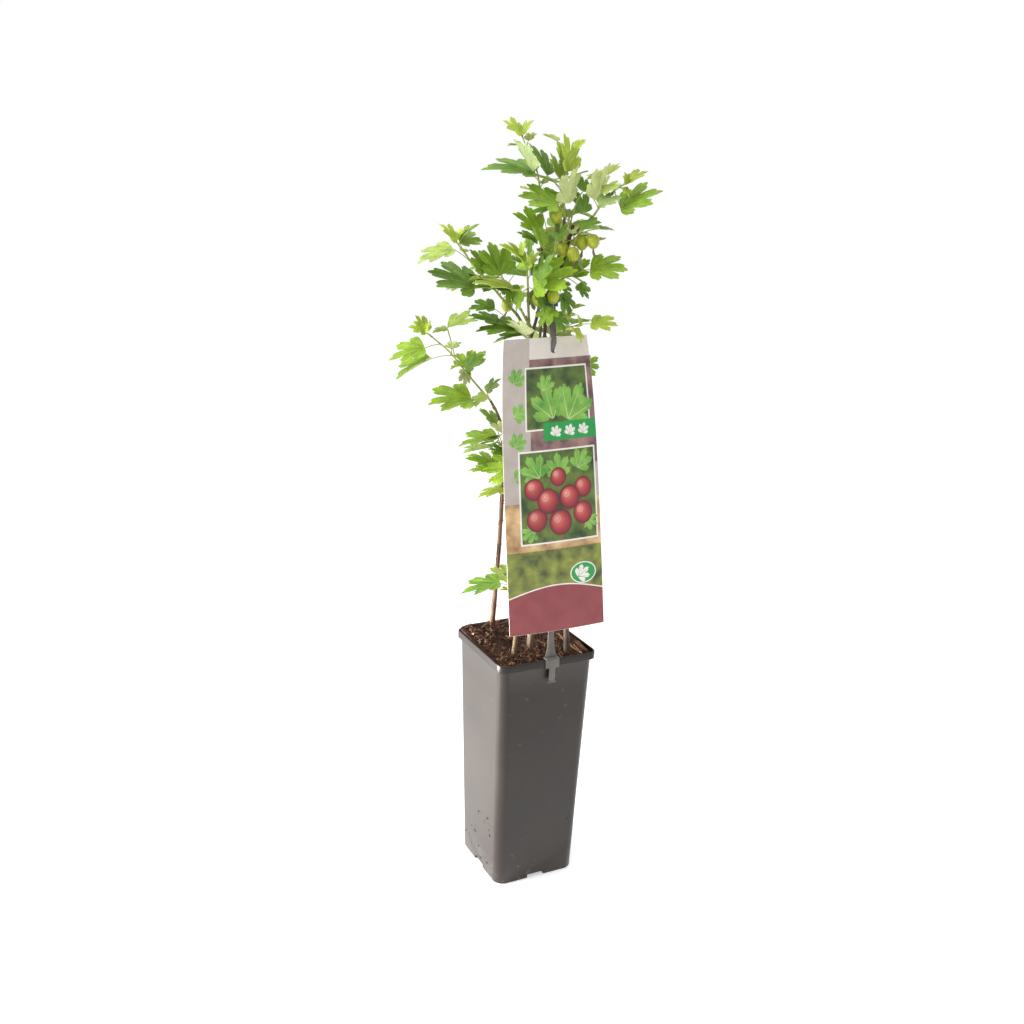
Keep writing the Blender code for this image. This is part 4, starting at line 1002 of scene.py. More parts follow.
def grown_leaves(thicket, routes):
    """Each mass's leaves and berries, by the same rule as its solid: (place, tone) and centres."""
    leaves = {name: [] for name in SHOOTS}
    berries = {name: [] for name in SHOOTS}
    for name, fruits in BERRIES.items():
        berries[name] = [fruit for fruit in fruits if hang_berry(thicket, name, routes[name], fruit)]
    for name, shoot in SHOOTS.items():
        for leaf in map(Leaf._make, shoot.leaves):
            found = room_for(thicket, name, partial(tabled_leaf, routes[name], leaf))
            if found:
                leaves[name].append((found, leaf.tone))
    for name, shoot in SHOOTS.items():
        for k, leaf in enumerate(ruled_leaves(routes[name], name, shoot.spare, bool(shoot.leaves))):
            found = room_for(thicket, name, partial(turned, leaf))
            if found:
                leaves[name].append((found, RULED_TONES[(k + len(name)) % len(RULED_TONES)]))
    return leaves, berries


def small_leaves(thicket, routes, name, shell):
    """Young leaves in the axils, which only the looks have, where there's room inside the shell."""
    draw = random.Random(name + " young")
    found = []
    count, tones = YOUNG_LEAVES.get(name, FEW_YOUNG_LEAVES)
    for k in range(count):
        share = 0.05 + 0.9 * (k + draw.random()) / count
        start, along = place_on(routes[name], share)
        turn = k * GOLDEN_TURN + draw.uniform(-0.5, 0.5)
        side = along.orthogonal().normalized()
        outward = side * cos(turn) + along.cross(side) * sin(turn)
        length = draw.uniform(8, 15)
        end = start + (outward + along * 0.8 + UP * 0.3).normalized() * draw.uniform(3, 7)
        lie = (outward + along * 0.4 + UP * draw.uniform(-0.1, 0.5)).normalized()
        look = (UP + outward * 0.2).normalized()
        place = find_room(thicket, name, [(start, end, lie, look, length)])
        if place and all(low < value < high for p in (end, end + lie * length)
                         for low, value, high in zip(shell[0], p, shell[1])):
            found.append((place, tones[k % len(tones)]))
    return found


def limb_routes():
    """The route and the radii of each cane and bough."""
    limbs = {name: (cane_route(name), cane.radii) for name, cane in CANES.items()}
    for name, bough in BOUGHS.items():
        points = [plan(p) for p in bough.route]
        start = leave_limb(*limbs[bough.parent], bough.height, points[0], bough.radii[0])
        limbs[name] = (smooth_route([start] + points), bough.radii)
    return limbs


def shoot_route(shoot, limbs):
    """A shoot's route, from its limb's tip or from the side of its cane."""
    points = [plan(p) for p in shoot.route]
    route, radii = limbs[shoot.parent]
    if shoot.height is None:
        start = beyond_tip(route, points[0], shoot.radii[0])
    else:
        start = leave_limb(route, radii, shoot.height, points[0], shoot.radii[0])
    return smooth_route([start] + points)


def leaf_skins():
    """The materials of the upper side, the underside and the veins, for each tone of leaf."""
    skins = []
    for tone, (upper, under) in TONES.items():
        vein = [0.55 * a + 0.45 * b for a, b in zip(upper, VEIN_TONE)]
        skins.append(finish("leaf_" + tone, *shades(upper, 0.86, 1.08), grain=90, roughness=(0.36, 0.52),
                            bump=0.35, relief=0.0004, fine=900, Specular_IOR_Level=0.28))
        skins.append(finish("leaf_under_" + tone, *shades(under, 0.92, 1.05), grain=90,
                            roughness=(0.6, 0.75), bump=0.3, relief=0.0004, fine=900,
                            Specular_IOR_Level=0.18))
        skins.append(finish("leaf_vein_" + tone, *shades(vein, 0.96, 1.04), bump=0))
    return skins


def twig_skins():
    """The materials of the shoots, the stalks and the buds at their roots."""
    return [finish("shoot_bark", (140, 158, 58), (174, 182, 84), grain=60, stretch=(1, 1, 0.35),
                   roughness=(0.5, 0.7), bump=0.4),
            finish("stalk_skin", (150, 166, 62), (182, 190, 92), grain=70, bump=0.2),
            finish("bud_skin", (140, 84, 56), (176, 124, 80), grain=200, bump=0.3)]


def berry_skins():
    """The materials of a berry, its veins and its tail."""
    return [finish("berry_skin", (142, 154, 24), (176, 182, 44), grain=110, roughness=(0.26, 0.38),
                   bump=0.1, Subsurface_Weight=0.12, Subsurface_Scale=0.004),
            finish("berry_vein", (164, 174, 52), (182, 188, 68), grain=110, roughness=(0.28, 0.38), bump=0),
            finish("berry_tail", (104, 76, 56), (146, 112, 84), grain=400, bump=0.5)]


def add_shoot(heap, route, radii):
    """A shoot with a slightly uneven surface."""
    fine = resample(route, SHOOT_STEP)
    total = lengths_along(fine)[-1]
    heap.add(*round_tube(fine, lambda run: blend(radii, run / total), 8,
                         lambda run, turn: 1 + 0.12 * noise.noise(Vector((run * 0.5, turn, 3)))))


def dress_foliage(nodes, shell, limbs):
    """The shoots, stalks, blades and berries that stand for the masses."""
    thicket = Thicket()
    for name, node in nodes.items():
        if name not in SHOOTS:
            thicket.hold(name, "thing", mesh_shape(node))
    routes = {name: shoot_route(shoot, limbs) for name, shoot in SHOOTS.items()}
    for name, shoot in SHOOTS.items():
        thicket.hold(name, "stem", tube(routes[name], shoot.radii, 4))
    leaves, berries = grown_leaves(thicket, routes)
    for name in SHOOTS:
        leaves[name] += small_leaves(thicket, routes, name, shell)
    skins = leaf_skins()
    tones = list(TONES)
    twigs = Heap()
    fruits = Heap()
    for name, shoot in SHOOTS.items():
        draw = random.Random(name + " blades")
        blades = Heap()
        add_shoot(twigs, routes[name], shoot.radii)
        for (start, end, along, look, length), tone in leaves[name]:
            add_blade(blades, end, along, look, length, tones.index(tone), draw)
            add_stalk(twigs, start, end, along, STALK_RADIUS)
            add_bud(twigs, start, ((end - start).normalized() + UP * 0.6).normalized(), AXIL_BUD, 2)
        for fruit in berries[name]:
            centre, root, top = berry_places(routes[name], fruit)
            add_berry(fruits, centre, draw)
            add_stalk(twigs, root, top, -UP, BERRY_STALK_RADIUS)
        blades.piece(name.replace("leaves_", "blades_"), skins, radians(70), (name,))
    twigs.piece("twigs", twig_skins(), radians(60))
    fruits.piece("berries", berry_skins(), radians(60))


# The dark and light tones of the limbs' bark, and that of the green boughs
BARKS = {
    "cane_left": ((84, 56, 40), (128, 94, 66)), "cane_front": ((78, 62, 38), (112, 92, 58)),
    "cane_middle": ((76, 60, 46), (122, 102, 80)), "cane_right": ((56, 43, 35), (92, 75, 61)),
    "bough_low_left": ((84, 72, 46), (140, 138, 72)), "bough_right": ((92, 66, 48), (134, 110, 76)),
}
GREEN_BARK = ((126, 136, 58), (162, 168, 84))
# How many strips of bark come loose on a cane, and how high its thorns start
PEELS = {"cane_middle": 12, "cane_right": 5, "cane_left": 5}
THORNS_FROM = 300
PEEL_ROWS = 12


def peel(heap, route, share, length, width, turn):
    """A strip of loose bark that lifts off a cane towards its ends."""
    half_width, cane_radius = width
    run = lengths_along(route)[-1]
    points = []
    for r in range(PEEL_ROWS):
        t = r / (PEEL_ROWS - 1)
        spot, along = place_on(route, share + length / run * (t - 0.5))
        side = along.orthogonal().normalized()
        other = along.cross(side)
        lift = cane_radius * (1 + 0.9 * (2 * t - 1) ** 4) + 0.15
        half = half_width * (1 - 0.55 * (2 * t - 1) ** 2)
        for k in (-1, 0, 1):
            angle = turn + 0.35 * t + k * half / cane_radius
            points.append(spot + (side * cos(angle) + other * sin(angle)) * (lift + (0.35 if k else 0)))
    thick = [p + Vector((0.12, 0.12, 0.05)) for p in points]
    heap.add(points + thick, slab_faces(PEEL_ROWS, 3), 3)


def knots_along(total, standing, draw):
    """Where a limb's knots are, in millimetres from its foot."""
    knots = []
    at = draw.uniform(14, 26)
    while at < total - 6:
        knots.append(at)
        at += draw.uniform(20, 34) if standing else draw.uniform(9, 14)
    return knots


def add_knot(heap, spot, along, turn, radius, thorny, draw):
    """A bud, and on some knots a thorn or three."""
    side = along.orthogonal().normalized()
    outward = side * cos(turn) + along.cross(side) * sin(turn)
    add_bud(heap, spot + outward * radius * 0.7 + along, (outward * 0.6 + along).normalized(),
            (0.95, draw.uniform(2.2, 3.2)), 2)
    if thorny and draw.random() < 0.75:
        for hand in draw.choice(((0,), (0,), (-1, 0, 1))):
            way = (outward + side.cross(along) * (0.75 * hand) - along * 0.15).normalized()
            add_bud(heap, spot + way * radius * 0.6 - along * 0.8, way,
                    (0.45, draw.uniform(4.0, 6.5) * (0.7 if hand else 1)), 1)


def dress_limbs(limbs):
    """Canes and boughs with the relief of their bark, their thorns, buds and peeling strips."""
    extras = [finish("thorn", (120, 92, 62), (170, 140, 100), grain=300, bump=0.2),
              finish("cane_bud", (96, 60, 44), (140, 96, 66), grain=300, bump=0.4),
              finish("loose_bark", (170, 152, 126), (206, 192, 168), grain=180, stretch=(1, 1, 0.2),
                     bump=0.5)]
    for name, (route, radii) in limbs.items():
        standing = name in CANES
        skin = finish("bark_" + name, *BARKS.get(name, GREEN_BARK), grain=420, stretch=(1, 1, 0.12),
                      roughness=(0.6, 0.85), bump=0.7, relief=0.0006, fine=1400)
        draw = random.Random(name)
        heap = Heap()
        fine = resample(smooth_route(route, 2), CANE_STEP if standing else BOUGH_STEP)
        total = lengths_along(fine)[-1]
        knots = knots_along(total, standing, draw)
        seed = draw.uniform(0, 90)

        def radius_at(run):
            flare = 1 + (FLARE - 1) * exp(-run / FLARE_REACH) if standing else 1
            knot = sum(exp(-((run - k) / 1.7) ** 2) for k in knots)
            return blend(radii, run / total) * flare * (1 + 0.16 * knot)

        def wobble(run, turn):
            ridge = noise.noise(Vector((2.6 * cos(turn), 2.6 * sin(turn), run * 0.045 + seed)))
            grit = noise.noise(Vector((6 * cos(turn), 6 * sin(turn), run * 0.5 + seed)))
            return 1 + 0.10 * ridge + 0.045 * grit
        heap.add(*round_tube(fine, radius_at, 14, wobble))
        for k, run in enumerate(knots):
            spot, along = place_on(fine, run / total)
            turn = k * GOLDEN_TURN + draw.uniform(-0.4, 0.4)
            add_knot(heap, spot, along, turn, radius_at(run), standing and spot.z > THORNS_FROM, draw)
        count = PEELS.get(name, 0)
        for k in range(count):
            share = 0.04 + 0.7 * (k + draw.random()) / count
            radius = blend(radii, share)
            peel(heap, fine, share, draw.uniform(14, 40),
                 (radius * draw.uniform(0.25, 0.5), radius * 1.08), draw.uniform(0, FULL_TURN))
        heap.piece("bark_" + name, [skin] + extras, radians(50), (name,))


POT_BANDS = 9
POT_STEPS = 12
FOOT_ROUND = 1.3


def pot_profile():
    """The pot's half widths, corners and heights, up its outside and down its inside."""
    rim_inner = RIM_CORNER - POT_WALL / 2
    inner = BODY_CORNER - POT_WALL
    rows = [(FOOT_HALF - 1.4, BODY_CORNER - 1, 0), (FOOT_HALF - 0.5, BODY_CORNER - 0.3, 0.4)]
    for k in range(POT_BANDS):
        t = k / POT_BANDS
        rows.append((FOOT_HALF + (BODY_HALF - FOOT_HALF) * t, BODY_CORNER,
                     FOOT_ROUND + (RIM_FOOT - FOOT_ROUND) * t))
    return rows + [
        (BODY_HALF, BODY_CORNER, RIM_FOOT - 0.3), (BODY_HALF + 0.2, BODY_CORNER, RIM_FOOT),
        (RIM_HALF - 0.4, RIM_CORNER, RIM_FOOT + 0.1), (RIM_HALF, RIM_CORNER, RIM_FOOT + 0.5),
        (RIM_HALF, RIM_CORNER, POT_HEIGHT - 0.7), (RIM_HALF - 0.2, RIM_CORNER, POT_HEIGHT - 0.2),
        (RIM_HALF - 0.6, RIM_CORNER, POT_HEIGHT), (RIM_HALF - POT_WALL + 0.3, rim_inner, POT_HEIGHT),
        (RIM_HALF - POT_WALL, rim_inner, POT_HEIGHT - 0.4),
        (RIM_HALF - POT_WALL, rim_inner, RIM_FOOT + POT_WALL),
        (BODY_HALF - POT_WALL, inner, RIM_FOOT), (FOOT_HALF - POT_WALL, inner, POT_FLOOR)]


def dress_pot():
    """The pot with its edges rounded, and with its solid's drain notches and holes."""
    plastic = finish("pot_plastic", (30, 23, 18), (40, 32, 26), grain=16, roughness=(0.28, 0.42), bump=0.12,
                     relief=0.0003, fine=500, Specular_IOR_Level=0.33, Coat_Weight=0.12,
                     Coat_Roughness=0.22)
    # Dried compost specks and a painted sheen low on the sides, and paler grey specks higher up
    specks_and_painted_sheen(plastic)
    heap = Heap()
    points, faces = loft([rounded_rectangle(half, half, corner, z, POT_STEPS)
                          for half, corner, z in pot_profile()])
    heap.add([Vector(p) for p in points], faces)
    pot = heap.piece("pot_shell", [plastic], radians(35), ("pot",))
    pockets, notches = [], []
    near = FOOT_HALF - NOTCH_REACH
    for quarter in range(4):
        outward, sideways = pot_side(quarter)
        pockets.append(cutter(drain_block(outward, sideways, near - POT_FLOOR, FOOT_HALF - EDGE_ROUND,
                                          NOTCH_WIDTH / 2 + POT_FLOOR, EDGE_ROUND,
                                          NOTCH_HEIGHT + POT_FLOOR)))
        notches.append(cutter(drain_block(outward, sideways, near, FOOT_HALF + CUT_MARGIN,
                                          NOTCH_WIDTH / 2, -CUT_MARGIN, NOTCH_HEIGHT)))
        notches.append(cutter(round_block(outward * (FOOT_HALF - NOTCH_REACH / 2), DRAIN_RADIUS,
                                          NOTCH_HEIGHT - 1, NOTCH_HEIGHT + CUT_MARGIN)))
    combine(pot, pockets, "UNION")
    combine(pot, notches, "DIFFERENCE")
    pot.data.set_sharp_from_angle(angle=radians(35))


# Marks on the pot: their tone and grain, the noise they start at, and the heights they fade between
# First: dried compost specks and a painted sheen, lighter and warmer low on the sides; second: paler grey
# specks, more higher up
MARKS = (((70, 52, 40), 190, 0.63, (0.075, 0.0)), ((56, 50, 44), 150, 0.70, (0.08, 0.16)))


def specks_and_painted_sheen(made):
    """Dried compost specks and a painted sheen low on the sides, and paler grey specks higher up."""
    nodes, links = made.node_tree.nodes, made.node_tree.links
    shader = nodes["Principled BSDF"]
    colour = shader.inputs["Base Color"].links[0].from_socket
    place = nodes.new("ShaderNodeTexCoord").outputs["Object"]
    split = nodes.new("ShaderNodeSeparateXYZ")
    links.new(place, split.inputs["Vector"])
    for tone, grain, edge, heights in MARKS:
        over = nodes.new("ShaderNodeMath")
        over.operation = "GREATER_THAN"
        links.new(speckle(made, place, grain, 3), over.inputs[0])
        links.new(spread(made, split.outputs["Z"], edge + 0.14, edge, heights), over.inputs[1])
        mix = nodes.new("ShaderNodeMix")
        mix.data_type = "RGBA"
        mix.inputs["B"].default_value = (*linear(tone), 1)
        links.new(over.outputs["Value"], mix.inputs["Factor"])
        links.new(colour, mix.inputs["A"])
        colour = mix.outputs["Result"]
    links.new(colour, shader.inputs["Base Color"])


def cutter(shape):
    """A closed body for a Boolean, its faces pointing out."""
    mesh = bpy.data.meshes.new("cutter")
    mesh.from_pydata([Vector(p) * MM for p in shape[0]], [], shape[1])
    editable = bmesh.new()
    editable.from_mesh(mesh)
    bmesh.ops.recalc_face_normals(editable, faces=editable.faces)
    editable.to_mesh(mesh)
    editable.free()
    thing = bpy.data.objects.new("cutter", mesh)
    bpy.context.scene.collection.objects.link(thing)
    return thing


def combine(thing, tools, operation):
    """Cut the tools from a solid, or join them to it, in one Boolean, and remove them."""
    group = bpy.data.collections.new(thing.name + "_tools")
    for tool in tools:
        bpy.context.scene.collection.objects.unlink(tool)
        group.objects.link(tool)
    bpy.context.scene.collection.children.link(group)
    step = thing.modifiers.new(operation.title(), "BOOLEAN")
    step.operation = operation
    step.operand_type = "COLLECTION"
    step.collection = group
    step.solver = "EXACT"
    graph = bpy.context.evaluated_depsgraph_get()
    shape = bpy.data.meshes.new_from_object(thing.evaluated_get(graph))
    thing.modifiers.clear()
    thing.data = shape
    for tool in tools:
        bpy.data.objects.remove(tool, do_unlink=True)
    bpy.data.collections.remove(group)


def ground(x, y):
    """The compost's rough surface: the solid's own, broken up by lumps."""
    broad = noise.noise(Vector((x * 0.11, y * 0.11, 1.7)))
    lumps = noise.noise(Vector((x * 0.35, y * 0.35, 4.2)))
    return soil_height(x, y) + 0.8 * broad + 0.9 * lumps


def add_chip(heap, centre, turn, tilt, dims, draw, slot):
    """A splinter of bark: a bar whose corners are pulled in unevenly."""
    side = Vector((cos(turn), sin(turn), 0))
    side = (side - tilt * side.dot(tilt)).normalized()
    other = tilt.cross(side)
    corners = []
    for sx, sy, sz in product((-1, 1), (-1, 1), (-1, 1)):
        pulled = [draw.uniform(0.55, 1.1) for _ in range(3)]
        corners.append(centre + side * (sx * dims[0] / 2 * pulled[0])
                       + other * (sy * dims[1] / 2 * pulled[1]) + tilt * (sz * dims[2] / 2 * pulled[2]))
    faces = [[0, 1, 3, 2], [4, 6, 7, 5], [0, 4, 5, 1], [2, 3, 7, 6], [0, 2, 6, 4], [1, 5, 7, 3]]
    heap.add(corners, faces, slot)


def compost_body():
    """The filling, from the pot's floor up to its lumpy surface."""
    corner = BODY_CORNER - POT_WALL
    rim_corner = RIM_CORNER - POT_WALL / 2 + GAP
    rings = [rounded_rectangle(half, half, rounding, z, SOIL_STEPS) for half, rounding, z in (
        (FOOT_HALF - POT_WALL - 1, corner, NOTCH_HEIGHT + POT_FLOOR + 1.0),
        (BODY_HALF - POT_WALL - 0.5, corner, RIM_FOOT),
        (SOIL_HALF, rim_corner, RIM_FOOT + POT_WALL + GAP))]
    edge = rounded_rectangle(SOIL_HALF - 0.2, SOIL_HALF - 0.2, rim_corner, 0, SOIL_STEPS)
    for k in range(SOIL_BANDS):
        shrink = 1 - k / SOIL_BANDS
        rings.append([(x * shrink, y * shrink, ground(x * shrink, y * shrink)) for x, y, _ in edge])
    points, faces = loft(rings)
    return [Vector(p) for p in points], faces


def scatter_chips(heap, draw):
    """Bark chips that lie all over the compost."""
    for _ in range(CHIPS):
        size = draw.choice(CHIP_SIZES)
        x, y = (draw.uniform(-1, 1) * (SOIL_HALF - 1 - size / 2) for _ in range(2))
        dims = (size, min(1.7, size * draw.uniform(0.14, 0.42)), min(0.9, size * draw.uniform(0.12, 0.3)))
        tilt = Vector((draw.uniform(-0.6, 0.6), draw.uniform(-0.6, 0.6), 1)).normalized()
        turn = draw.uniform(0, FULL_TURN)
        centre = Vector((x, y, ground(x, y) + dims[2] * 0.3 + draw.uniform(0, 1.0)))
        add_chip(heap, centre, turn, tilt, dims, draw, draw.choice(CHIP_TONES))


def scatter_straws(heap, draw):
    """Bent straws and rootlets among the chips, some with one end in the air."""
    for _ in range(STRAWS):
        x, y = (draw.uniform(-1, 1) * (SOIL_HALF - 10) for _ in range(2))
        turn = draw.uniform(0, FULL_TURN)
        length = draw.uniform(5, 17)
        bend = draw.uniform(-0.07, 0.07)
        tip = draw.uniform(0, 2.5)
        route = []
        for i in range(8):
            run = length * (i / 7 - 0.5)
            px = x + cos(turn) * run - sin(turn) * bend * run * run / 2
            py = y + sin(turn) * run + cos(turn) * bend * run * run / 2
            route.append(Vector((px, py, ground(px, py) + 0.8 + 0.4 * sin(3 * i) + tip * i / 7)))
        thick = draw.choice(STRAW_RADII)
        heap.add(*round_tube(route, lambda run: thick, 5), draw.choice(STRAW_TONES))


def lay_splinters(heap, draw):
    """The long splinters by the right wall."""
    for (ax, ay), (bx, by), wide, thick, tone in SPLINTERS:
        middle = Vector(((ax + bx) / 2, (ay + by) / 2, 0))
        middle.z = ground(middle.x, middle.y) + thick + 1.2
        way = Vector((bx - ax, by - ay, 0))
        add_chip(heap, middle, atan2(way.y, way.x), UP, (way.length, wide, thick), draw, tone)


# The chips' and straws' materials: dark and light tones, grain, roughness and bump
LITTER = {
    "chip_dark": ((38, 23, 16), (58, 36, 25), 500, (0.8, 0.95), 0.8),
    "chip_red": ((86, 50, 33), (116, 72, 49), 500, (0.75, 0.9), 0.8),
    "chip_tan": ((138, 98, 68), (170, 130, 94), 500, (0.75, 0.9), 0.7),
    "chip_grey": ((82, 66, 54), (108, 90, 75), 500, (0.8, 0.9), 0.7),
    "straw": ((142, 108, 76), (174, 140, 104), 400, (0.5, 0.7), 0.3),
    "chip_brown": ((62, 38, 26), (86, 55, 38), 500, (0.75, 0.9), 0.8),
}


def dress_compost():
    """The compost's lumpy top and body, with bark chips, straws and rootlets lying on it."""
    crumb = finish("compost_crumb", (40, 25, 18), (70, 44, 31), grain=260, roughness=(0.85, 0.95), bump=0.9,
                   relief=0.0012, fine=700, Specular_IOR_Level=0.2)
    body = Heap()
    body.add(*compost_body())
    body.piece("compost_body", [crumb], radians(60), ("compost",))
    litter = Heap()
    draw = random.Random("chips")
    scatter_chips(litter, draw)
    scatter_straws(litter, draw)
    lay_splinters(litter, draw)
    skins = [finish(name, dark, light, grain, roughness=roughness, bump=bump)
             for name, (dark, light, grain, roughness, bump) in LITTER.items()]
    litter.piece("compost_chips", skins, radians(25))


def sheet_grid(low, high, lift, columns, rows):
    """Points over a rectangle of the card, lifted off its middle surface."""
    (x0, y0), (x1, y1) = low, high
    return [sheet_point(x0 + (x1 - x0) * c / columns, y0 + (y1 - y0) * r / rows, lift)
            for r in range(rows + 1) for c in range(columns + 1)]


def patch(heap, low, high, layer, slot):
    """A printed rectangle on the card's front."""
    columns = 1 + int((high[0] - low[0]) / PRINT_STEP)
    rows = 1 + int((high[1] - low[1]) / PRINT_STEP)
    lift = CARD_THICKNESS / 2 + LAYER * layer
    heap.add(sheet_grid(low, high, lift, columns, rows), grid_faces(rows + 1, columns + 1), slot)


def print_shape(heap, outline, centre, layer, slot):
    """A printed shape: rings round a centre, out to an outline, close enough to follow the card's bow."""
    lift = CARD_THICKNESS / 2 + LAYER * layer
    count = len(outline)
    reach = max(hypot(x - centre[0], y - centre[1]) for x, y in outline)
    rings = 1 + int(reach / PRINT_STEP)
    points = [sheet_point(centre[0] + (x - centre[0]) * share, centre[1] + (y - centre[1]) * share, lift)
              for share in np.linspace(1, 1 / rings, rings) for x, y in outline]
    points.append(sheet_point(*centre, lift))
    faces = grid_faces(rings, count, closed=True)
    last = (rings - 1) * count
    faces += [[last + i, last + (i + 1) % count, len(points) - 1] for i in range(count)]
    heap.add(points, faces, slot)


def disc(centre, half_wide, half_high, steps=28):
    """The outline of an oval on the card."""
    turns = [-2 * pi * k / steps for k in range(steps)]
    return [(centre[0] + half_wide * cos(turn), centre[1] + half_high * sin(turn)) for turn in turns]


def print_leaf(heap, root, turn, length, layer, slots):
    """A printed leaf motif with three paler veins."""
    outline = []
    for angle, reach in zip(EDGE_TURNS[::2], EDGE_REACHES[::2]):
        a = radians(turn) + angle
        outline.append((root[0] + reach * length * cos(a), root[1] - reach * length * sin(a)))
    centre = (root[0] + 0.3 * length * cos(radians(turn)), root[1] - 0.3 * length * sin(radians(turn)))
    print_shape(heap, outline[::-1], centre, layer, slots[0])
    lift = CARD_THICKNESS / 2 + LAYER * (layer + 1)
    steps = 2 + int(length / PRINT_STEP)
    for vein in (0, 37, -37):
        a = radians(turn + vein)
        points = []
        for share in np.linspace(0.02, 0.85, steps):
            x, y = root[0] + share * length * cos(a), root[1] - share * length * sin(a)
            wide = VEIN_INK * length * (1 - share)
            points += [sheet_point(x + hand * wide * sin(a), y + hand * wide * cos(a), lift)
                       for hand in (-1, 1)]
        heap.add(points, grid_faces(steps, 2, flip=True), slots[1])


def print_berry(heap, centre, size, layer, slots):
    """A printed berry, shaded from its dark rim to its highlight."""
    tail = disc((centre[0], centre[1] + size * 1.08), size * 0.13, size * 0.3)
    print_shape(heap, tail, centre, layer, slots[-1])
    for k, slot in enumerate(slots[:-1]):
        t = k / (len(slots) - 2)
        share = 0.07 + 0.93 * (1 - t) ** 0.55
        shift = 0.32 * t ** 1.5
        spot = (centre[0] - size * shift, centre[1] - size * shift * 1.1)
        print_shape(heap, disc(spot, size * share * 0.94, size * share), spot, layer + 1 + k, slot)


def dress_crumbs():
    """Crumbs of compost stuck low on the pot's sides, most of them on its left one."""
    heap = Heap()
    draw = random.Random("crumbs")
    for _ in range(POT_CRUMBS):
        quarter = draw.choice(CRUMB_SIDES)
        outward, sideways = pot_side(quarter)
        rise = NOTCH_HEIGHT + 1 + CRUMB_RISE * draw.random() ** 2
        half = FOOT_HALF + (BODY_HALF - FOOT_HALF) * rise / RIM_FOOT
        size = draw.choice(CRUMB_SIZES)
        spot = outward * (half + 0.1) + sideways * ((half - BODY_CORNER) * draw.uniform(-1, 1)) + UP * rise
        dims = (size * draw.uniform(0.6, 1), size * draw.uniform(0.5, 1), size * 0.5)
        add_chip(heap, spot, quarter * pi / 2 + pi / 2, outward, dims, draw, 0)
    crumb = finish("crumb", (44, 32, 25), (70, 52, 40), grain=500, roughness=(0.8, 0.95), bump=0.8)
    heap.piece("pot_crumbs", [crumb], radians(25))


# The inks of the card's print, as dark and light tones
INKS = {
    "paper": ((214, 204, 196), (224, 215, 208)), "pale": ((176, 165, 157), (190, 180, 172)),
    "warm": ((150, 112, 70), (226, 190, 140)), "meadow": ((52, 66, 34), (150, 158, 62)),
    "deep": ((34, 60, 28), (104, 128, 50)), "leaf": ((84, 146, 52), (142, 192, 82)),
    "rib": ((170, 198, 118), (184, 208, 130)), "band": ((132, 54, 58), (144, 64, 68)),
    "green": ((22, 146, 66), (30, 158, 76)), "dusk": ((84, 60, 66), (168, 132, 122)),
    "tail": ((104, 80, 52), (132, 104, 70)), "white": ((232, 226, 218), (240, 234, 228)),
}
# A printed berry's tones, from its rim to its highlight; there's an ink for each of its rings
BERRY_TONES = ((96, 28, 42), (126, 36, 48), (152, 46, 54), (170, 62, 62), (188, 88, 82), (226, 172, 160))
for ring in range(BERRY_RINGS):
    ring_tone = [blend(values, ring / (BERRY_RINGS - 1)) for values in zip(*BERRY_TONES)]
    INKS["berry_%d" % ring] = shades(ring_tone, 0.94, 1.06)
INK_NAMES = list(INKS)

# The card's design, in millimetres across from its middle and down from its top
CARD_LEFT = PRINT_MARGIN - CARD_WIDTH / 2
CARD_RIGHT = CARD_WIDTH / 2 - PRINT_MARGIN
CARD_FOOT = CARD_LENGTH - PRINT_MARGIN
COLUMN_RIGHT = CARD_LEFT + 27
FRAME_EDGE = 1.6
# Coloured grounds: left, top, right, bottom, layer and ink
GROUNDS = (
    (CARD_LEFT, PRINT_MARGIN, COLUMN_RIGHT, 150, 1, "pale"), (COLUMN_RIGHT, 19, CARD_RIGHT, 118, 1, "dusk"),
    (CARD_LEFT, 150, CARD_RIGHT, 206, 1, "warm"), (COLUMN_RIGHT, 118, CARD_RIGHT, 150, 1, "pale"),
    (CARD_LEFT, 196, CARD_RIGHT, CARD_FOOT, 2, "meadow"), (CARD_LEFT + 40, 77, CARD_RIGHT, 94, 14, "green"),
)
# Pictures in a white frame: left, top, right, bottom and layer
PICTURES = ((CARD_LEFT + 22, 26, CARD_RIGHT - 6, 84, 3), (CARD_LEFT + 14, 102, CARD_RIGHT - 3, 190, 6))
# Leaves: the root, the turn, the length and the layer; the white ones lie on green
GREEN_LEAVES = [((CARD_LEFT + 11, 40 + 29 * k), 60 - 40 * (k % 2), 15, 2) for k in range(4)] + [
    ((2, 74), 105, 33, 7), ((18, 76), 62, 36, 11), ((32, 62), 20, 10, 11), ((-8, 48), 60, 16, 7),
    ((-14, 128), 120, 24, 9), ((26, 122), 60, 20, 11), ((-20, 176), 210, 15, 9), ((32, 170), 330, 15, 11),
    ((6, 128), 95, 22, 9)]
WHITE_LEAVES = [((CARD_LEFT + 52 + 15 * k, 90), 75, 10, 16) for k in range(3)] + [((22, 226), 35, 14, 8)]
# Berries: the centre, the size and the tier that they lie in
PRINTED_BERRIES = (((-20, 138), 10.5, 0), ((-6, 150), 12, 1), ((-18, 167), 11, 0), ((6, 171), 12.5, 0),
                   ((31, 140), 10, 0), ((16, 148), 11.5, 2), ((30, 164), 11, 0), ((5, 128), 9, 0))
BERRY_LAYER = 14
# The band at the foot: its top's height at the sides, its arch, its pieces and its white line's depth
BAND_TOP = 240
BAND_ARCH = 9
BAND_PIECES = 24
BAND_LINE = 1.2
BAND_LAYER = 4
BADGE_CENTRE = (28, 222)


def ink(name):
    """The number of an ink in the list of the card's materials."""
    return INK_NAMES.index(name)


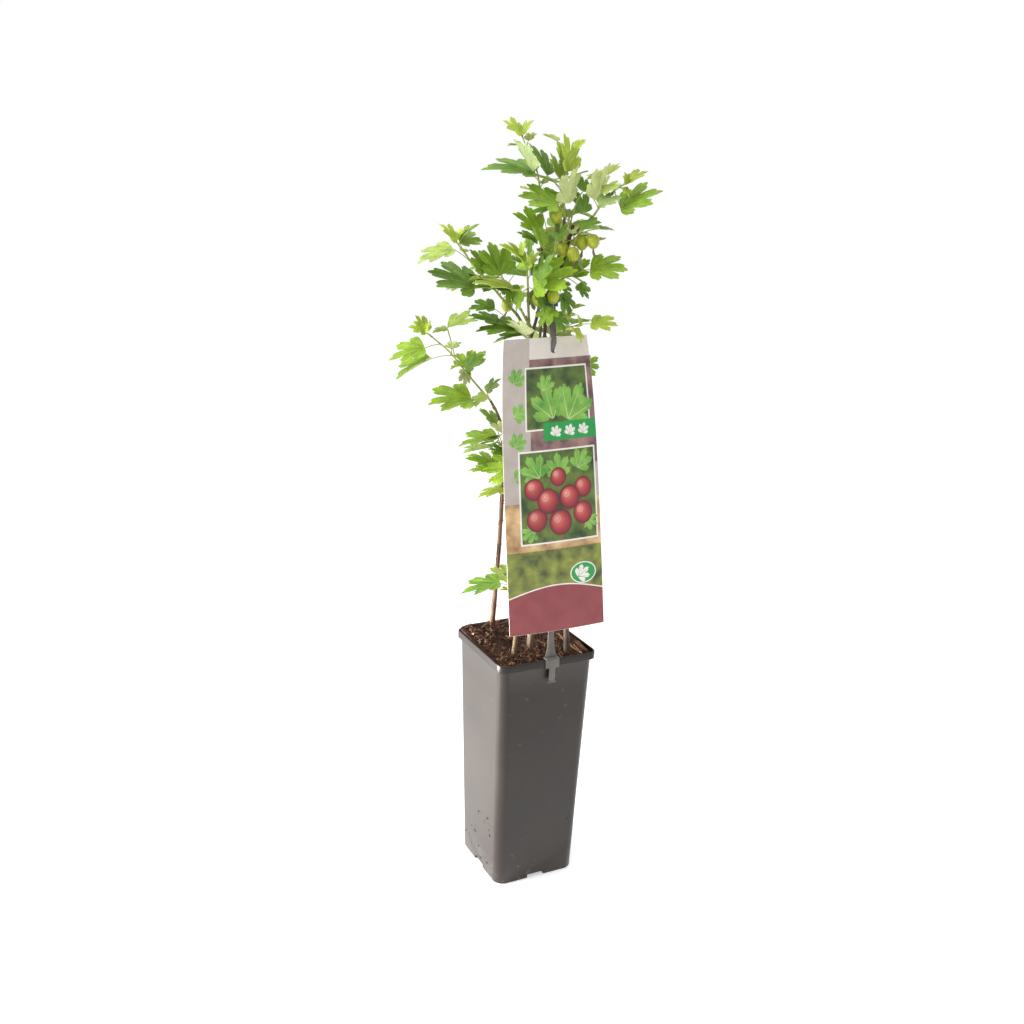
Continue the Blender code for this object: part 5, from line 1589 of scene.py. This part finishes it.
def card_sheet(materials):
    """The bowed sheet with its slot."""
    sheet = Heap()
    half = CARD_WIDTH / 2
    skins = [sheet_grid((-half, 0), (half, CARD_LENGTH), lift, CARD_COLUMNS, CARD_ROWS)
             for lift in (CARD_THICKNESS / 2, -CARD_THICKNESS / 2)]
    sheet.add(skins[0] + skins[1], slab_faces(CARD_ROWS + 1, CARD_COLUMNS + 1, flip=True), ink("paper"))
    card = sheet.piece("card_sheet", materials, radians(40), ("label_card",))
    outline = rounded_rectangle(HOLE_WIDTH / 2, HOLE_LENGTH / 2, HOLE_WIDTH / 2 - 0.05, 0, 6)
    slot = cutter(loft([[sheet_point(HOLE_ACROSS + x, HOLE_DOWN + y, out) for x, y, _ in outline]
                        for out in (-6, 6)]))
    combine(card, [slot], "DIFFERENCE")


def print_band(heap):
    """The band across the card's foot, arched at its top, with a white line along it."""
    curve = []
    for k in range(BAND_PIECES + 1):
        curve.append((CARD_LEFT + (CARD_RIGHT - CARD_LEFT) * k / BAND_PIECES,
                      BAND_TOP - BAND_ARCH * sin(pi * k / BAND_PIECES)))
    lift = CARD_THICKNESS / 2 + LAYER * BAND_LAYER
    for (x0, y0), (x1, y1) in zip(curve, curve[1:]):
        for tops, feet, tone in (((y0, y1), (CARD_FOOT, CARD_FOOT), "band"),
                                 ((y0 - BAND_LINE, y1 - BAND_LINE), (y0, y1), "white")):
            points = [sheet_point(x, top + (foot - top) * t, lift) for t in np.linspace(0, 1, 7)
                      for x, top, foot in zip((x0, x1), tops, feet)]
            heap.add(points, grid_faces(7, 2), ink(tone))


def dress_card():
    """The label: a glossy bowed sheet with a plain printed design of leaves and berries."""
    materials = [finish("print_" + name, *tones, grain=70, roughness=(0.26, 0.36), bump=0.06, relief=0.0002,
                        fine=300, Specular_IOR_Level=0.5, Coat_Weight=0.25, Coat_Roughness=0.12)
                 for name, tones in INKS.items()]
    card_sheet(materials)
    art = Heap()
    for left, top, right, bottom, layer, tone in GROUNDS:
        patch(art, (left, top), (right, bottom), layer, ink(tone))
    for left, top, right, bottom, layer in PICTURES:
        for edge, rise, tone in ((0, 0, "white"), (FRAME_EDGE, 1, "deep")):
            patch(art, (left + edge, top + edge), (right - edge, bottom - edge), layer + rise, ink(tone))
    for leaf in GREEN_LEAVES:
        print_leaf(art, *leaf, (ink("leaf"), ink("rib")))
    for leaf in WHITE_LEAVES:
        print_leaf(art, *leaf, (ink("white"), ink("green")))
    berry_inks = [ink("berry_%d" % k) for k in range(BERRY_RINGS)] + [ink("tail")]
    for centre, size, tier in PRINTED_BERRIES:
        print_berry(art, centre, size, BERRY_LAYER + (BERRY_RINGS + 1) * tier, berry_inks)
    print_band(art)
    print_shape(art, disc(BADGE_CENTRE, 14, 10.5), BADGE_CENTRE, 6, ink("white"))
    print_shape(art, disc(BADGE_CENTRE, 12.8, 9.4), BADGE_CENTRE, 7, ink("green"))
    art.piece("card_print", materials, radians(60))


# One half of the strap's section, in half widths and half thicknesses; the other half is its turn
HALF_SECTION = ((-1, -0.4), (-0.86, -1), (-0.3, -1), (-0.2, -1.35), (0.2, -1.35), (0.3, -1), (0.86, -1),
                (1, -0.4))
STRAP_SECTION = HALF_SECTION + tuple((-x, -y) for x, y in HALF_SECTION)
# The point of the strap's path from which its rib stands out
RIB_FROM = 8
CLIP_Z = POT_HEIGHT + GAP
INNER_Y = -RIM_HALF + POT_WALL + GAP
OUTER_Y = -RIM_HALF - GAP


def strap_path():
    """The strap's course: down from the tie, through the card's slot, and behind the card to the clip."""
    behind = -(CARD_THICKNESS / 2 + STRAP_THICKNESS / 2 + STRAP_BEHIND)
    before = CARD_THICKNESS / 2 + STRAP_THICKNESS / 2 + STRAP_BEFORE
    slot_half = HOLE_LENGTH * 0.3
    path = [plan(STRAP_TOP), plan(STRAP_TOP) - UP * STRAP_STRAIGHT]
    for down, out in ((-8, before), (-2, before), (HOLE_DOWN - slot_half, before),
                      (HOLE_DOWN + slot_half, behind), (18, behind), (60, behind)):
        path.append(sheet_point(HOLE_ACROSS, down, out))
    foot = Vector((CLIP_X, INNER_Y - GAP + STRAP_THICKNESS / 2 + 1, CLIP_Z + STRAP_THICKNESS / 2))
    return path + [path[-1].lerp(foot, share) for share in (0.3, 0.6, 0.9, 0.96, 1)]


def strap_shape():
    """The strap, which widens into the clip and has a rib along its middle."""
    path = strap_path()
    wide = Vector((cos(CARD_TURN), sin(CARD_TURN), 0))
    widths = [STRAP_WIDTH] * (len(path) - 3) + [STRAP_FLARE, 2 * STRAP_FLARE - STRAP_WIDTH,
                                                CLIP_WIDTH - CLIP_NARROWING]
    rings = []
    for k, point in enumerate(path):
        along = heading(path, k)
        side = (wide - along * wide.dot(along)).normalized()
        front = along.cross(side)
        ring = []
        for x, y in STRAP_SECTION:
            depth = y if k >= RIB_FROM else max(-1, min(1, y))
            ring.append(point + side * (x * widths[k] / 2) + front * (depth * STRAP_THICKNESS / 2))
        rings.append(ring)
    return loft(rings)


def clip_block(half_width, near, far, low, high):
    """A block of the clip from its half width and its reach in depth and height."""
    return soft_box((CLIP_X - half_width, near, low), (CLIP_X + half_width, far, high))


def dress_holder():
    """The grey holder: clip, tongue and strap."""
    heap = Heap()
    heap.add(*strap_shape())
    half = CLIP_WIDTH / 2
    tongue = TONGUE_WIDTH / 2
    tongue_foot = POT_HEIGHT - TONGUE_DROP
    clip_foot = POT_HEIGHT - CLIP_DROP
    front = OUTER_Y - CLIP_WALL
    for block in ((half, front, INNER_Y + 2 * CLIP_WALL, CLIP_Z, CLIP_Z + CLIP_WALL),
                  (half, front, OUTER_Y, clip_foot, CLIP_Z + 1),
                  (half - CLIP_NARROWING, INNER_Y, INNER_Y + CLIP_WALL, SOIL_LEVEL + 3, CLIP_Z + 1),
                  (tongue, front + 0.1, OUTER_Y - 0.1, tongue_foot, clip_foot + 1),
                  (tongue + LIP_OUT, front - 0.2, OUTER_Y + GAP, tongue_foot - CLIP_WALL,
                   tongue_foot + 0.2)):
        heap.add(*clip_block(*block), 1)
    heap.piece("holder_strap", [
        finish("strap_plastic", (86, 82, 77), (102, 98, 92), grain=60, roughness=(0.35, 0.5), bump=0.1),
        finish("clip_plastic", (88, 83, 77), (102, 97, 91), grain=60, roughness=(0.35, 0.5), bump=0.1),
    ], radians(35), ("label_holder",))


def soft_box(low, high, round_off=0.35):
    """A block with chamfered edges."""
    (x0, y0, z0), (x1, y1, z1) = low, high
    rings = []
    for z, inset in ((z0, round_off), (z0 + round_off, 0), (z1 - round_off, 0), (z1, round_off)):
        half_x = (x1 - x0) / 2 - inset
        half_y = (y1 - y0) / 2 - inset
        ring = rounded_rectangle(half_x, half_y, min(0.5, half_x * 0.9, half_y * 0.9), z, 3)
        rings.append([Vector((x + (x0 + x1) / 2, y + (y0 + y1) / 2, h)) for x, y, h in ring])
    return loft(rings)


TIE_TURNS = 5


def dress_tie():
    """The tie: turns of thin cord wound round the canes and the strap, and its loose end."""
    centre = plan(TIE_PLACE)
    wire = TIE_HEIGHT / TIE_TURNS / 2
    route = []
    outline = rounded_rectangle(TIE_HALF_WIDTH + TIE_WIRE / 2, TIE_HALF_DEPTH + TIE_WIRE / 2,
                                TIE_CORNER + TIE_WIRE / 2, 0, 5)
    for turn in range(TIE_TURNS):
        for k, (x, y, _) in enumerate(outline):
            share = (turn + k / len(outline)) / TIE_TURNS
            rise = wire + (TIE_HEIGHT - 2 * wire) * share + 0.25 * sin(5.1 * turn + k)
            route.append(centre + ACROSS * x + BACK * y + UP * rise)
    heap = Heap()
    heap.add(*round_tube(route, lambda run: wire * 0.92, 8,
                         lambda run, turn: 1 + 0.08 * sin(2 * turn + run * 2.4)))
    end = route[-1]
    loose = [end, end + ACROSS * 2 + UP * 1.5, end + ACROSS * 5 - BACK * 2 + UP * 2,
             end + ACROSS * 7 - BACK * 4]
    heap.add(*round_tube(smooth_route(loose, 4), lambda run: wire * 0.85, 8))
    cord = finish("tie_cord", (18, 104, 98), (40, 146, 136), grain=500, roughness=(0.4, 0.6), bump=0.6,
                  relief=0.0004, fine=1500)
    heap.piece("tie_cord", [cord], radians(50), ("tie",))


FLOOR_HALF = 6.0
WORLD_LIGHT = 0.68
# The lamps: name, power, width and depth, place and aim in the photograph's frame, and spread
LAMPS = (
    ("key", 34, (1.2, 1.6), (-1.6, -0.3, 1.2), (0, 0, 0.4), pi),
    ("side", 3.6, (0.5, 0.3), (-0.8, -0.12, 0.16), (0, 0, 0.13), radians(42)),
    ("top", 16, (1.6, 1.6), (0.1, 0.1, 2.3), (0, 0, 0.4), pi),
)


def lay_floor():
    """The white floor that the photograph's blank ground stands for."""
    mesh = bpy.data.meshes.new("floor")
    corners = [(x * FLOOR_HALF, y * FLOOR_HALF, 0) for x, y in ((-1, -1), (1, -1), (1, 1), (-1, 1))]
    mesh.from_pydata(corners, [], [(0, 1, 2, 3)])
    mesh.materials.append(finish("floor_paint", (236, 236, 236), (242, 242, 242), grain=2,
                                 roughness=(0.8, 0.9), bump=0, Specular_IOR_Level=0.1,
                                 Emission_Color=(1, 1, 1, 1), Emission_Strength=0.45))
    floor = bpy.data.objects.new("floor", mesh)
    bpy.context.scene.collection.objects.link(floor)


def hang_lamps():
    """The soft lamps of the studio."""
    for name, power, size, place, aim, spread_angle in LAMPS:
        lamp = bpy.data.lights.new(name, "AREA")
        lamp.energy = power
        lamp.shape = "RECTANGLE"
        lamp.size, lamp.size_y = size
        lamp.spread = spread_angle
        thing = bpy.data.objects.new(name, lamp)
        thing.location = plan(place)
        thing.rotation_euler = (Vector(aim) - plan(place)).to_track_quat("-Z", "Y").to_euler()
        bpy.context.scene.collection.objects.link(thing)


def light_world():
    """An even light from all round, and pure white where the camera sees past everything."""
    world = bpy.data.worlds.new("studio")
    world.use_nodes = True
    nodes, links = world.node_tree.nodes, world.node_tree.links
    mix = nodes.new("ShaderNodeMixShader")
    for place, (light, strength) in enumerate(((nodes["Background"], WORLD_LIGHT),
                                               (nodes.new("ShaderNodeBackground"), 1.0)), 1):
        light.inputs["Color"].default_value = (1, 1, 1, 1)
        light.inputs["Strength"].default_value = strength
        links.new(light.outputs["Background"], mix.inputs[place])
    links.new(nodes.new("ShaderNodeLightPath").outputs["Is Camera Ray"], mix.inputs["Fac"])
    links.new(mix.outputs["Shader"], nodes["World Output"].inputs["Surface"])
    bpy.context.scene.world = world
    bpy.context.scene.view_settings.view_transform = "Standard"


def set_camera():
    """The camera where the photograph was taken from."""
    lens = bpy.data.cameras.new("camera")
    lens.lens = CAMERA_FOCUS / IMAGE_SIZE * lens.sensor_width
    camera = bpy.data.objects.new("camera", lens)
    camera.matrix_world = (Matrix.Translation(CAMERA_PLACE) @ Matrix.Rotation(-VIEW_TURN, 4, "Z")
                           @ Matrix.Rotation(pi / 2 + CAMERA_PITCH, 4, "X")
                           @ Matrix.Rotation(CAMERA_ROLL, 4, "Z"))
    bpy.context.scene.collection.objects.link(camera)
    bpy.context.scene.camera = camera


def main():
    """Dress the solids and set the stage."""
    limbs = limb_routes()
    dress_foliage(frame["nodes"], [Vector(corner) / MM for corner in CAD_BOX], limbs)
    dress_limbs(limbs)
    dress_pot()
    dress_compost()
    dress_crumbs()
    dress_card()
    dress_holder()
    dress_tie()
    lay_floor()
    hang_lamps()
    light_world()
    set_camera()


main()
